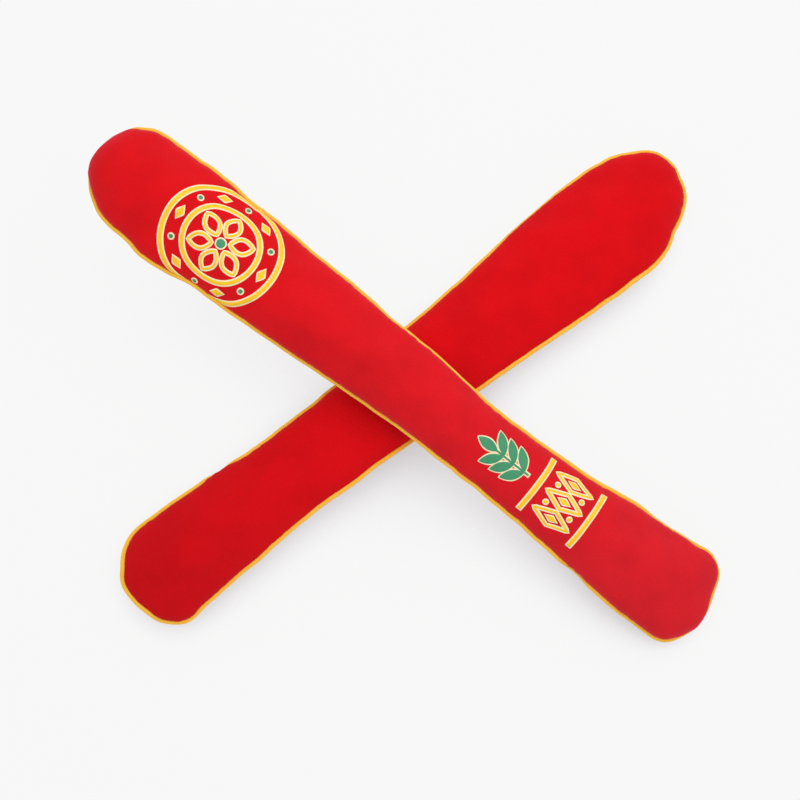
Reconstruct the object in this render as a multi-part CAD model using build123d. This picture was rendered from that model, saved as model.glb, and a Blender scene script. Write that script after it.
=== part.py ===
from build123d import *
import os
from dataclasses import dataclass
from math import atan2, cos, degrees, hypot, pi, radians, sin, sqrt

# A pair of padded focus training sticks, the upper one laid across the lower one.
# Millimetres, +Z up, origin on the floor under the middle of the pair. Each stick is built
# along +X from its tail tip to its head tip with its seam in the plane z = 0, then laid in place.

# ---- upper stick: the cloth body, without its piping -------------------------------------
UPPER_LENGTH = 465.0
UPPER_HEAD_WIDTH = 63.2
UPPER_NECK_WIDTH = 57.4
UPPER_WAIST_WIDTH = 42.0
UPPER_TAIL_WIDTH = 59.2
UPPER_HEAD_DEPTH = 40.0
UPPER_WAIST_DEPTH = 32.0
UPPER_TAIL_DEPTH = 37.0
UPPER_NECK_FROM_HEAD = 97.0
UPPER_WAIST_FROM_TAIL = 185.0
UPPER_HEAD_TIP_RADIUS = 29.0
UPPER_HEAD_SIDE_RADIUS = 171.0
UPPER_TAIL_TIP_RADIUS = 42.0
UPPER_TAIL_CORNER_RADIUS = 15.0
UPPER_HEADING = 143.6  # degrees from +X, tail to head
UPPER_CROSS_FROM_TAIL = 238.0  # where the sticks cross

# ---- lower stick, lying front down -------------------------------------------------------
LOWER_LENGTH = 442.0
LOWER_HEAD_WIDTH = 72.4
LOWER_WAIST_WIDTH = 50.4
LOWER_TAIL_WIDTH = 61.4
LOWER_HEAD_DEPTH = 40.0
LOWER_WAIST_DEPTH = 33.0
LOWER_TAIL_DEPTH = 38.0
LOWER_WAIST_FROM_TAIL = 135.0
LOWER_HEAD_TIP_RADIUS = 27.0
LOWER_HEAD_SIDE_RADIUS = 84.0
LOWER_TAIL_TIP_RADIUS = 35.0
LOWER_TAIL_CORNER_RADIUS = 22.0
LOWER_HEADING = 38.7
LOWER_CROSS_FROM_TAIL = 210.0
LOWER_REST_HEIGHT = 17.5  # seam above the floor: less than half the depth, so the pad flattens

# ---- how a side runs between its widest and narrowest places -----------------------------
TAIL_BEND_SHARE = 0.3  # share of the run that bulges outwards, behind the tail
LOWER_HEAD_BEND_SHARE = 0.2
EVEN_BEND_SHARE = 0.5

# ---- ends as seen from the side: the head is the blunter one ----------------------------
HEAD_EDGE_RADIUS = 18.0
HEAD_SHOULDER_RADIUS = 75.0
TAIL_EDGE_RADIUS = 13.0
TAIL_SHOULDER_RADIUS = 68.0

# ---- layers, from the outside in ---------------------------------------------------------
COVER_THICKNESS = 1.2
LAYER_CLEARANCE = 0.3
WADDING_THICKNESS = 5.0
PIPING_DIAMETER = 2.8
PIPING_CLOTH_THICKNESS = 0.5
PIPING_GAP = 0.2  # between the tube of the piping and the cloth edge beside it
CORD_CLEARANCE = 0.05
FLANGE_THICKNESS = 0.8
FLANGE_WIDTH = 7.0

# ---- core ----------------------------------------------------------------------------------
ROD_DIAMETER = 9.0
ROD_SETBACK = 42.0  # rod end to cloth tip
ROD_CLEARANCE = 0.25
CAP_WALL = 2.0
CAP_END_THICKNESS = 3.0
CAP_LENGTH = 16.0
CAP_FIT = 0.05

# ---- hand stitches that close the stuffing gap ------------------------------------------
STITCH_COUNT = 7
STITCH_PITCH = 5.0
STITCH_LENGTH = 2.4
STITCH_DIAMETER = 0.5
STITCH_CLEARANCE = 0.15
GAP_FROM_TAIL = 107.0  # tail tip to the middle of the stuffing gap

# ---- how the pair rests --------------------------------------------------------------------
CROSS_CLEARANCE = 0.3
FLOOR_CLEARANCE = 0.0
STEEPEST_TILT = 30.0  # degrees
TILT_TOLERANCE = 0.001
SAMPLES_ALONG = 90  # points on the underside that are tested for touching
SAMPLES_ROUND = 20
UNDERSIDE_SPAN = 120.0  # degrees of the underside that can touch

# ---- how finely the padded bodies are lofted --------------------------------------------
END_SECTIONS = 8
END_REACH = 46.0
MIDDLE_SECTIONS = 9
FAR = 2000.0  # half-space boxes reach well past the sticks


class Outline:
    """One side of a shape that is symmetrical about its axis: tangent arcs from tip to tip.

    A node is (x, y, heading in degrees). Growing the outline moves each node along its normal,
    which keeps every arc an arc about the same centre.
    """

    def __init__(self, length, tail_end, rests, head_end):
        # rests: (x or None at the ends, half width, bend share of the run that follows)
        tail_x, tail_node = oval_end(rests[0][1], *tail_end)
        head_x, head_node = oval_end(rests[-1][1], *head_end)
        self.nodes = [(0.0, 0.0, 90.0), tail_node]
        places = [tail_x] + [x for x, half, share in rests[1:-1]] + [length - head_x]
        for i, (_, half, share) in enumerate(rests):
            self.nodes.append((places[i], half, 0.0))
            if i + 1 == len(rests):
                break
            run = places[i + 1] - places[i]
            rise = rests[i + 1][1] - half
            heading = 2 * degrees(atan2(rise, run))
            self.nodes.append((places[i] + share * run, half + share * rise, heading))
        x, y, heading = head_node
        self.nodes += [(length - x, y, -heading), (length, 0.0, -90.0)]

    def grown(self, grow):
        """The nodes moved outwards by grow."""
        moved = []
        for x, y, heading in self.nodes:
            normal = radians(heading + 90)
            moved.append((x + grow * cos(normal), y + grow * sin(normal), heading))
        return moved

    def half(self, x, grow=0.0):
        """Half width at x of the outline grown by grow."""
        nodes = self.grown(grow)
        for (ax, ay, a), (bx, by, b) in zip(nodes, nodes[1:]):
            if ax <= x <= bx:
                turn = radians(b - a)
                if abs(turn) < 1e-6:
                    return ay + (by - ay) * (x - ax) / (bx - ax)
                radius = hypot(bx - ax, by - ay) / (2 * sin(turn / 2))
                normal = radians(a + 90)
                centre_x = ax + radius * cos(normal)
                centre_y = ay + radius * sin(normal)
                reach = sqrt(max(radius**2 - (x - centre_x) ** 2, 0.0))
                return centre_y + (reach if turn < 0 else -reach)
        return 0.0

    def edges(self, grow=0.0):
        """Arcs of the whole closed outline in the plane z = 0, both sides of the axis."""
        nodes = self.grown(grow)
        edges = []
        for side in (1, -1):
            for (ax, ay, a), (bx, by, b) in zip(nodes, nodes[1:]):
                start = Vector(ax, side * ay)
                end = Vector(bx, side * by)
                turn = radians(b - a)
                if abs(turn) < 1e-6:
                    edges.append(Line(start, end))
                    continue
                chord = end - start
                bulge = Vector(-chord.Y, chord.X) * side * -sin(turn / 4) / cos(turn / 4) / 2
                edges.append(ThreePointArc(start, (start + end) / 2 + bulge, end))
        return edges

    def face(self, grow=0.0):
        return make_face(self.edges(grow))


def oval_end(half, tip_radius, side_radius):
    """Distance from the tip to the widest place, and the node where tip arc meets side arc."""
    sign = 1 if side_radius > tip_radius else -1
    widest = tip_radius + sign * sqrt((side_radius - tip_radius) ** 2 - (side_radius - half) ** 2)
    away = Vector(tip_radius - widest, side_radius - half) * sign
    away = away.normalized()
    heading = degrees(atan2(away.Y, away.X)) - 90
    return widest, (tip_radius * (1 + away.X), tip_radius * away.Y, heading)


@dataclass
class Stick:
    name: str
    length: float
    plan: Outline
    side: Outline
    top: str  # which cover faces up
    bottom: str
    rest_height: float  # 0 where the pad isn't flattened by the floor


def oval_section(stick, x, grow):
    plane = Plane(origin=(x, 0, 0), x_dir=(0, 0, 1), z_dir=(1, 0, 0))
    return plane * Ellipse(stick.side.half(x, grow), stick.plan.half(x, grow))


def padded_body(stick, grow):
    """The stuffed shape grown by grow: ellipses lofted from tail to head."""
    end_steps = [END_REACH * (1 - cos(pi / 2 * (i + 1) / END_SECTIONS)) for i in range(END_SECTIONS)]
    middle = stick.length - 2 * END_REACH
    middle_steps = [
        END_REACH - grow + (middle + 2 * grow) * (i + 1) / (MIDDLE_SECTIONS + 1)
        for i in range(MIDDLE_SECTIONS)
    ]
    places = [step - grow for step in end_steps]
    places += middle_steps
    places += [stick.length + grow - step for step in reversed(end_steps)]
    body = loft([oval_section(stick, x, grow) for x in places])
    if stick.rest_height:
        body &= above(-stick.rest_height - grow)
    return body


def above(height):
    return Pos(0, 0, height + FAR / 2) * Box(FAR, FAR, FAR)


def below(height):
    return Pos(0, 0, height - FAR / 2) * Box(FAR, FAR, FAR)


def piping(stick):
    """Bias strip folded round a cord: the tube outside the seam, the flange inside it."""
    centre_line = PIPING_DIAMETER / 2 + PIPING_GAP
    path = Wire(stick.plan.edges(centre_line))
    start = Plane(origin=path @ 0, z_dir=path % 0)
    bore_radius = PIPING_DIAMETER / 2 - PIPING_CLOTH_THICKNESS
    tube = sweep(start * Circle(PIPING_DIAMETER / 2), path=path)
    bore = sweep(start * Circle(bore_radius), path=path)
    cord = sweep(start * Circle(bore_radius - CORD_CLEARANCE), path=path)
    strip = stick.plan.face(centre_line) - stick.plan.face(-FLANGE_WIDTH)
    flange = Pos(0, 0, -FLANGE_THICKNESS / 2) * extrude(strip, FLANGE_THICKNESS)
    return {"piping_sleeve": tube + flange - bore, "piping_cord": cord}


def half_shells(stick):
    """Velvet covers and the wadding behind them, each split at the seam."""
    pieces = {}
    depth = 0.0
    for layer, thickness in (("cover", COVER_THICKNESS), ("wadding", WADDING_THICKNESS)):
        shell = padded_body(stick, -depth) - padded_body(stick, -depth - thickness)
        pieces[f"{stick.top}_{layer}"] = shell & above(FLANGE_THICKNESS / 2)
        pieces[f"{stick.bottom}_{layer}"] = shell & below(-FLANGE_THICKNESS / 2)
        depth += thickness + LAYER_CLEARANCE
    return pieces


def core(stick):
    """Rod with a cup cap on each end, in a groove between two foam halves."""
    rod_length = stick.length - 2 * ROD_SETBACK
    rod_radius = ROD_DIAMETER / 2
    cap_radius = rod_radius + CAP_FIT + CAP_WALL
    lying = Rot(0, 90, 0)
    middle = Pos(stick.length / 2, 0, 0)
    rod = middle * lying * Cylinder(rod_radius, rod_length)
    socket = Cylinder(rod_radius + CAP_FIT, CAP_LENGTH - CAP_END_THICKNESS)
    cap = Cylinder(cap_radius, CAP_LENGTH) - Pos(0, 0, -CAP_END_THICKNESS / 2) * socket
    cap_reach = rod_length / 2 + CAP_END_THICKNESS - CAP_LENGTH / 2
    head_cap = middle * Pos(cap_reach, 0, 0) * lying * cap
    tail_cap = middle * Pos(-cap_reach, 0, 0) * Rot(0, -90, 0) * cap

    inset = COVER_THICKNESS + WADDING_THICKNESS + 2 * LAYER_CLEARANCE
    foam = padded_body(stick, -inset)
    foam -= middle * lying * Cylinder(rod_radius + ROD_CLEARANCE, rod_length)
    pocket = Cylinder(cap_radius + ROD_CLEARANCE, CAP_LENGTH + 2 * ROD_CLEARANCE)
    for side in (1, -1):
        foam -= middle * Pos(side * cap_reach, 0, 0) * lying * pocket
    # a rebate round the rim leaves room for the flange of the piping
    rim = stick.plan.face(0) - stick.plan.face(-FLANGE_WIDTH - LAYER_CLEARANCE)
    room = FLANGE_THICKNESS + 2 * LAYER_CLEARANCE
    foam -= Pos(0, 0, -room / 2) * extrude(rim, room)
    return {
        "core_rod": rod,
        "head_cap": head_cap,
        "tail_cap": tail_cap,
        f"{stick.top}_foam": foam & above(0),
        f"{stick.bottom}_foam": foam & below(0),
    }


def closing_stitches(stick):
    """Short threads under the seam, from the cover below to the piping, along the stuffing gap."""
    height = -(PIPING_DIAMETER / 2 + STITCH_CLEARANCE + STITCH_DIAMETER / 2)
    threads = []
    for i in range(STITCH_COUNT):
        x = GAP_FROM_TAIL + (i - (STITCH_COUNT - 1) / 2) * STITCH_PITCH
        inner = stick.plan.half(x) + STITCH_CLEARANCE
        thread = Rot(90, 0, 0) * Cylinder(STITCH_DIAMETER / 2, STITCH_LENGTH)
        threads.append(Pos(x, inner + STITCH_LENGTH / 2, height) * thread)
    return {"closing_stitches": Compound(children=threads)}


def stick_pieces(stick):
    return half_shells(stick) | piping(stick) | core(stick) | closing_stitches(stick)


def surface_height(stick, x, y):
    """Height of the top of a level stick above its seam, or None beside the stick."""
    half = stick.plan.half(x)
    if abs(y) >= half:
        return None
    return stick.side.half(x) * sqrt(1 - (y / half) ** 2)


def underside(stick):
    """Points over the underside of a stick, in its own frame."""
    points = []
    for i in range(1, SAMPLES_ALONG):
        x = stick.length * i / SAMPLES_ALONG
        wide = stick.plan.half(x)
        deep = stick.side.half(x)
        for j in range(SAMPLES_ROUND + 1):
            turn = radians(UNDERSIDE_SPAN * (j / SAMPLES_ROUND - 0.5))
            points.append((x, wide * sin(turn), -deep * cos(turn)))
    return points


def upper_height(lower, points, tilt):
    """Seam heights at the crossing that just clear the lower stick, and just clear the floor."""
    rise = sin(radians(tilt))
    along = cos(radians(tilt))
    turn = radians(UPPER_HEADING - LOWER_HEADING)
    clear_lower = clear_floor = 0.0
    for x, y, z in points:
        ahead = (x - UPPER_CROSS_FROM_TAIL) * along - z * rise
        up = (x - UPPER_CROSS_FROM_TAIL) * rise + z * along
        lower_x = LOWER_CROSS_FROM_TAIL + ahead * cos(turn) - y * sin(turn)
        lower_y = ahead * sin(turn) + y * cos(turn)
        clear_floor = max(clear_floor, FLOOR_CLEARANCE - up)
        top = surface_height(lower, lower_x, lower_y)
        if top is not None:
            clear_lower = max(clear_lower, LOWER_REST_HEIGHT + top + CROSS_CLEARANCE - up)
    return clear_lower, clear_floor


def leaning(upper, lower):
    """Tilt and height of the upper stick: across the lower stick, its tail down on the floor."""
    points = underside(upper)
    flat = 0.0
    steep = STEEPEST_TILT
    while steep - flat > TILT_TOLERANCE:
        tilt = (flat + steep) / 2
        clear_lower, clear_floor = upper_height(lower, points, tilt)
        if clear_floor < clear_lower:
            flat = tilt
        else:
            steep = tilt
    return tilt, max(clear_lower, clear_floor)


def reach_in_plan(stick, place):
    """Corners of the box that the piping of a placed stick fills, seen from above."""
    beyond = PIPING_DIAMETER + PIPING_GAP
    box = (place * stick.plan.face(beyond)).bounding_box()
    return box.min, box.max


upper = Stick(
    "upper",
    UPPER_LENGTH,
    Outline(
        UPPER_LENGTH,
        (UPPER_TAIL_TIP_RADIUS, UPPER_TAIL_CORNER_RADIUS),
        [
            (None, UPPER_TAIL_WIDTH / 2, TAIL_BEND_SHARE),
            (UPPER_WAIST_FROM_TAIL, UPPER_WAIST_WIDTH / 2, EVEN_BEND_SHARE),
            (UPPER_LENGTH - UPPER_NECK_FROM_HEAD, UPPER_NECK_WIDTH / 2, EVEN_BEND_SHARE),
            (None, UPPER_HEAD_WIDTH / 2, None),
        ],
        (UPPER_HEAD_TIP_RADIUS, UPPER_HEAD_SIDE_RADIUS),
    ),
    Outline(
        UPPER_LENGTH,
        (TAIL_EDGE_RADIUS, TAIL_SHOULDER_RADIUS),
        [
            (None, UPPER_TAIL_DEPTH / 2, EVEN_BEND_SHARE),
            (UPPER_WAIST_FROM_TAIL, UPPER_WAIST_DEPTH / 2, EVEN_BEND_SHARE),
            (None, UPPER_HEAD_DEPTH / 2, None),
        ],
        (HEAD_EDGE_RADIUS, HEAD_SHOULDER_RADIUS),
    ),
    top="front",
    bottom="back",
    rest_height=0.0,
)
lower = Stick(
    "lower",
    LOWER_LENGTH,
    Outline(
        LOWER_LENGTH,
        (LOWER_TAIL_TIP_RADIUS, LOWER_TAIL_CORNER_RADIUS),
        [
            (None, LOWER_TAIL_WIDTH / 2, TAIL_BEND_SHARE),
            (LOWER_WAIST_FROM_TAIL, LOWER_WAIST_WIDTH / 2, 1 - LOWER_HEAD_BEND_SHARE),
            (None, LOWER_HEAD_WIDTH / 2, None),
        ],
        (LOWER_HEAD_TIP_RADIUS, LOWER_HEAD_SIDE_RADIUS),
    ),
    Outline(
        LOWER_LENGTH,
        (TAIL_EDGE_RADIUS, TAIL_SHOULDER_RADIUS),
        [
            (None, LOWER_TAIL_DEPTH / 2, EVEN_BEND_SHARE),
            (LOWER_WAIST_FROM_TAIL, LOWER_WAIST_DEPTH / 2, EVEN_BEND_SHARE),
            (None, LOWER_HEAD_DEPTH / 2, None),
        ],
        (HEAD_EDGE_RADIUS, HEAD_SHOULDER_RADIUS),
    ),
    top="back",
    bottom="front",
    rest_height=LOWER_REST_HEIGHT,
)

# Each stick is turned about the point where they cross, then the pair is centred on the origin.
tilt, cross_height = leaning(upper, lower)
places = {
    "upper": Pos(0, 0, cross_height)
    * Rot(0, 0, UPPER_HEADING)
    * Rot(0, -tilt, 0)
    * Pos(-UPPER_CROSS_FROM_TAIL, 0, 0),
    "lower": Pos(0, 0, LOWER_REST_HEIGHT) * Rot(0, 0, LOWER_HEADING) * Pos(-LOWER_CROSS_FROM_TAIL, 0, 0),
}
corners = [reach_in_plan(stick, places[stick.name]) for stick in (upper, lower)]
low_x = min(low.X for low, high in corners)
high_x = max(high.X for low, high in corners)
low_y = min(low.Y for low, high in corners)
high_y = max(high.Y for low, high in corners)
centring = Pos(-(low_x + high_x) / 2, -(low_y + high_y) / 2, 0)

os.makedirs("parts", exist_ok=True)
for stick in (upper, lower):
    place = centring * places[stick.name]
    for piece, shape in stick_pieces(stick).items():
        export_step(place * shape, f"parts/{stick.name}_{piece}.step")
print(f"tilt {tilt:.2f} degrees, seam {cross_height:.1f} mm up at the crossing")
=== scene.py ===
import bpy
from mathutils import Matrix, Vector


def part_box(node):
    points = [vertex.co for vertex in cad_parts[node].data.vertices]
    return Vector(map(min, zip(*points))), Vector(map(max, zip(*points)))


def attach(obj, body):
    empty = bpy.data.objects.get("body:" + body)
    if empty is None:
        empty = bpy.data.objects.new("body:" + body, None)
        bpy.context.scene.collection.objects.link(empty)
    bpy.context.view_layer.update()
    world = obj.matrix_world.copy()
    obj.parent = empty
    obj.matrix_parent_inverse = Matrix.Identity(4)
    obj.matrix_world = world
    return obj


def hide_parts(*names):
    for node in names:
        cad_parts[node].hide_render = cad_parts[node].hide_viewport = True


bl_info = {
    "name": "Padded training sticks",
    "version": (1, 0, 0),
    "blender": (4, 5, 0),
    "location": "3D View > Sidebar > Sticks",
    "description": "Dresses a crossed pair of padded training sticks in velvet, piping and print",
    "category": "Object",
}

from math import atan2, cos, pi, radians, sin, sqrt

import bmesh
import bpy
import numpy as np
from bpy.props import FloatProperty, FloatVectorProperty, IntProperty, PointerProperty
from mathutils import Matrix, Vector, noise
from mathutils.bvhtree import BVHTree
from mathutils.geometry import intersect_line_line_2d

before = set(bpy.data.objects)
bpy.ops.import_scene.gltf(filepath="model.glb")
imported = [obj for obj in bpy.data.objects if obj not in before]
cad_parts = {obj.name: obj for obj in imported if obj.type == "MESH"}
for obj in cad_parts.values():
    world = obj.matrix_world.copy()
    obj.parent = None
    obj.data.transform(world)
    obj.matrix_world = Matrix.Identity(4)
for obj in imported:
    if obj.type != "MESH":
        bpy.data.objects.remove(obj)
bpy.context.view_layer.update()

MM = 0.001
STICKS = ("upper", "lower")
# 1 for the cover that faces up and -1 for the one that faces down
SIDES = {"upper": {"front": 1, "back": -1}, "lower": {"back": 1, "front": -1}}
FAR = 0.3  # outside any section of a stick
CLOTH_FRAMES = 20  # length of the cloth simulation
PRINT_STEP = 1.2 * MM  # between two points of a printed line, so that it bends with the cloth
LIP = 0.35 * MM  # width of a film's sloping edge
EDGE_RISE = 0.35  # height of a film at its edge, and in its middle, as a share
CROWN_RISE = 1.1
STUFFING_GAP = 107  # its place on the left edge, in mm from the tail
FLOOR_GAP = 0.4 * MM  # room for the print between the lower cover and the floor
FLOOR_HALF = 4.0  # far larger than the sticks
FLOOR_LEVEL = -0.02 * MM  # dipped a little, so that it never cuts them
KEY_FROM = (0.22, 0.3, 1.0)  # direction of the key light
SHADOW_LEAN = (0.17, 0.47, 0.87)  # the floor's normal, turned towards the key light
SHADOW_RANGE = (0.05, 0.76)  # occlusion factors of the darkest shadow and of none
SHADOW_TINT = (1.05, 0.97, 1.01)  # how the darkest painted shadow's channels differ from the floor's: pinker, as painted bounce light from the red velvet
VIEW_CENTRE = (-5.07 * MM, -7.04 * MM, 20 * MM)  # what the camera looks at


# ---- small helpers ------------------------------------------------------------------------


def linear(code):
    """Linear colour of an sRGB hex code such as D6141C."""
    channels = [int(code[i : i + 2], 16) / 255 for i in (0, 2, 4)]
    return [c / 12.92 if c <= 0.04045 else ((c + 0.055) / 1.055) ** 2.4 for c in channels] + [1.0]


def toned(colour, share):
    """A linear colour at a share of its brightness."""
    return [c * share for c in colour[:3]] + [1.0]


def add(tree, kind, inputs=None, **settings):
    """Adds a node. An input is a value, or what it is linked from: a socket or a node's first one."""
    made = tree.nodes.new(kind)
    for key, value in settings.items():
        setattr(made, key, value)
    for key, value in (inputs or {}).items():
        if isinstance(value, bpy.types.Node):
            value = value.outputs[0]
        if isinstance(value, bpy.types.NodeSocket):
            tree.links.new(value, made.inputs[key])
        else:
            made.inputs[key].default_value = value
    return made


def mesh_object(name, vertices, faces, material, attributes=None):
    """A smooth mesh object at the origin. Attributes are one number for each vertex."""
    mesh = bpy.data.meshes.new(name)
    mesh.from_pydata([tuple(v) for v in vertices], [], faces)
    for key, values in (attributes or {}).items():
        layer = mesh.attributes.new(key, "FLOAT", "POINT")
        layer.data.foreach_set("value", np.asarray(values, np.float32))
    work = bmesh.new()
    work.from_mesh(mesh)
    bmesh.ops.recalc_face_normals(work, faces=work.faces)
    work.to_mesh(mesh)
    work.free()
    mesh.shade_smooth()
    mesh.materials.append(material)
    made = bpy.data.objects.new(name, mesh)
    bpy.context.scene.collection.objects.link(made)
    return made


def evaluated(source, name):
    """Plain mesh object of what a modifier stack makes of source, which is removed."""
    bpy.context.view_layer.update()
    graph = bpy.context.evaluated_depsgraph_get()
    mesh = bpy.data.meshes.new_from_object(source.evaluated_get(graph))
    bpy.data.objects.remove(source)
    mesh.name = name
    made = bpy.data.objects.new(name, mesh)
    bpy.context.scene.collection.objects.link(made)
    return made


# ---- shape of a stick ---------------------------------------------------------------------


def middle_of(node):
    """Middle of a CAD node's box."""
    low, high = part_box(node)
    return (low + high) / 2


def ripple(along, total, pitch, seed, waves=14):
    """Random wave round a closed seam, mostly within -1 to 1, with bumps about a pitch long."""
    numbers = np.random.default_rng(seed)
    height = np.zeros_like(along)
    for _ in range(waves):
        turns = max(1, round(total / pitch * numbers.uniform(0.5, 1.5)))
        height += np.cos(2 * pi * turns * along / total + numbers.uniform(0, 2 * pi))
    return height / sqrt(2 * waves)


def softened(values, passes):
    """Values smoothed round the seam, which is closed."""
    for _ in range(passes):
        values = (np.roll(values, 1, 0) + 2 * values + np.roll(values, -1, 0)) / 4
    return values


class StickShape:
    """Skin of one stick as ribs that run from the seam up to the spine.

    In the stick's own frame X runs from tail to head and Z out of the face that lies up. Along
    the straight of the spine ribs stand square to it, and they fan round each of its two ends.
    """

    def __init__(self, name):
        self.name = name
        self.body = f"{name}_stick"
        tail = middle_of(f"{name}_tail_cap")
        head = middle_of(f"{name}_head_cap")
        ahead = (head - tail).normalized()
        up = (Vector((0, 0, 1)) - ahead * ahead.z).normalized()
        turn = Matrix((ahead, up.cross(ahead), up)).transposed().to_4x4()
        self.matrix = Matrix.Translation((head + tail) / 2) @ turn
        self.trees = {
            side: self.tree(f"{name}_{face}_cover") for face, side in SIDES[name].items()
        }
        edge = 0.9 * MM  # just above the slot between the covers
        self.tail_tip = self.hit(1, (-FAR, 0, edge), (1, 0, 0)).x
        self.head_tip = self.hit(1, (FAR, 0, edge), (-1, 0, 0)).x
        reach = 30 * MM  # from each tip to where its round end is widest
        self.tail_half = self.hit(1, (self.tail_tip + reach, FAR, edge), (0, -1, 0)).y
        self.head_half = self.hit(1, (self.head_tip - reach, FAR, edge), (0, -1, 0)).y
        self.spine = (self.tail_tip + self.tail_half, self.head_tip - self.head_half)

    def tree(self, node):
        """A CAD node's faces in the stick's own frame, to cast rays at."""
        inverse = self.matrix.inverted()
        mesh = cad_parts[node].data
        corners = [inverse @ v.co for v in mesh.vertices]
        return BVHTree.FromPolygons(corners, [tuple(p.vertices) for p in mesh.polygons])

    def hit(self, side, start, direction):
        """Where a ray meets one cover, or None."""
        return self.trees[side].ray_cast(Vector(start), Vector(direction))[0]

    def ribs(self, step):
        """Spine point, heading in radians and spine number of each rib, clockwise from above."""
        first, last = self.spine
        count = round((last - first) / step)
        xs = [first + (last - first) * i / count for i in range(count + 1)]
        ribs = [(x, pi / 2, i) for i, x in enumerate(xs)]
        fan = round(pi * self.head_half / step)
        ribs += [(last, pi / 2 - pi * i / fan, count) for i in range(1, fan)]
        ribs += [(x, -pi / 2, i) for i, x in reversed(list(enumerate(xs)))]
        fan = round(pi * self.tail_half / step)
        ribs += [(first, -pi / 2 - pi * i / fan, 0) for i in range(1, fan)]
        return ribs

    def reach(self, x, heading, rise):
        """Distance from a spine point to the outside, along a heading and a rise in radians."""
        slot = radians(1.6)  # the covers leave a slot at the seam, which is bridged
        if abs(rise) < slot:
            above = self.reach(x, heading, slot)
            below = self.reach(x, heading, -slot)
            return below + (above - below) * (rise + slot) / (2 * slot)
        ray = Vector((cos(heading) * cos(rise), sin(heading) * cos(rise), sin(rise)))
        root = Vector((x, 0, 0))
        return (self.hit(1 if rise > 0 else -1, root + ray * FAR, -ray) - root).length

    def skin(self, side, ribs, rows, slide=None):
        """Points (rib, row, xyz) on the outside of one cover, from the seam to the spine.

        Slide is how far down the girth the seam lies at each rib.
        """
        shares = [(j / (rows - 1)) ** 1.6 for j in range(rows)]  # closest together at the seam
        gap = 0.35 * MM  # from the seam's middle to the cover's edge
        reach = np.zeros((len(ribs), rows))
        rays = np.zeros((len(ribs), rows, 3))
        for k, (x, heading, _) in enumerate(ribs):
            width = self.reach(x, heading, 0)
            down = 0 if slide is None else slide[k]
            seam = atan2(side * gap - down, width)
            for j, share in enumerate(shares):
                rise = seam + (side * pi / 2 - seam) * share
                reach[k, j] = self.reach(x, heading, rise)
                rays[k, j] = (cos(heading) * cos(rise), sin(heading) * cos(rise), sin(rise))
        roots = np.array([(x, 0, 0) for x, _, _ in ribs])
        reach = calm(softened(reach, 6), rays, reach, ribs)
        return meet_on_spine(roots[:, None, :] + rays * reach[:, :, None], ribs)


def calm(values, rays, reach, ribs):
    """Values with the scatter taken out close to the two poles, where ribs crowd together."""
    values = values.copy()
    crowd = 9 * MM  # radius about a pole
    near = np.exp(-((np.linalg.norm(rays[:, :, :2], axis=2) * reach / crowd) ** 2))
    headings = np.array([heading for _, heading, _ in ribs])
    numbers = np.array([number for _, _, number in ribs])
    for number in (0, numbers.max()):
        fan = np.flatnonzero(numbers == number)
        terms = np.stack([np.ones(len(fan)), np.cos(headings[fan]), np.sin(headings[fan])], 1)
        fit = terms @ np.linalg.lstsq(terms, values[fan], rcond=None)[0]
        values[fan] += (fit - values[fan]) * near[fan]
    return values


def meet_on_spine(points, ribs):
    """Gives ribs that share a spine point the same last point."""
    numbers = np.array([number for _, _, number in ribs])
    for number in range(numbers.max() + 1):
        mates = numbers == number
        points[mates, -1] = points[mates, -1].mean(0)
    return points


def outward(points, side):
    """Unit normals of a rib grid, pointing out of the stick."""
    along = np.roll(points, -1, 0) - np.roll(points, 1, 0)
    up = np.gradient(points, axis=1)
    normals = np.cross(up, along)
    normals /= np.maximum(np.linalg.norm(normals, axis=2, keepdims=True), 1e-12)
    flip = np.sign((normals[:, 1] * (points[:, 0] - points[:, -1])).sum(1))
    normals *= np.where(flip == 0, 1, flip)[:, None, None]
    normals[:, -1] = (0.0, 0.0, float(side))
    return normals


def rib_lengths(points):
    """Distance of each point from the seam, along its rib."""
    steps = np.linalg.norm(np.diff(points, axis=1), axis=2)
    return np.concatenate([np.zeros((len(points), 1)), np.cumsum(steps, 1)], 1)


def seam_lengths(points):
    """Distance of each rib's foot along the seam, and the seam's whole length."""
    steps = np.linalg.norm(np.roll(points[:, 0], -1, 0) - points[:, 0], axis=1)
    return np.concatenate([[0.0], np.cumsum(steps)[:-1]]), steps.sum()


def rib_faces(ribs, rows, offset):
    """Faces of one rib grid, and the vertex number of (rib, row)."""
    count = len(ribs)
    spine = count * (rows - 1)

    def number(k, j):
        k %= count
        return offset + (spine + ribs[k][2] if j == rows - 1 else k * (rows - 1) + j)

    faces = []
    for k in range(count):
        for j in range(rows - 1):
            face = [number(k, j), number(k + 1, j), number(k + 1, j + 1), number(k, j + 1)]
            faces.append(tuple(dict.fromkeys(face)))
    return faces, number


def rib_vertices(points, ribs):
    """Vertices of a rib grid in the order that rib_faces numbers them."""
    count = max(number for _, _, number in ribs) + 1
    spine = np.zeros((count, 3))
    for k, (_, _, number) in enumerate(ribs):
        spine[number] = points[k, -1]
    return np.concatenate([points[:, :-1].reshape(-1, 3), spine])


def placed(points, shape):
    """Points of the stick's own frame in the row frame."""
    matrix = np.array(shape.matrix)
    return points @ matrix[:3, :3].T + matrix[:3, 3]


def seamed_faces(ribs, rows, inner_rows, turn):
    """Faces of two rib grids and of the strip that joins them along the seam.

    Turn is -1 where the second grid lies inside the first, whose faces it then faces.
    """
    faces, number = rib_faces(ribs, rows, 0)
    start = len(ribs) * (rows - 1) + max(spine for _, _, spine in ribs) + 1
    inner_faces, inner = rib_faces(ribs, inner_rows, start)
    faces += [face[::turn] for face in inner_faces]
    for k in range(len(ribs)):
        faces.append((number(k, 0), inner(k, 0), inner(k + 1, 0), number(k + 1, 0)))
    return faces


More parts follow.
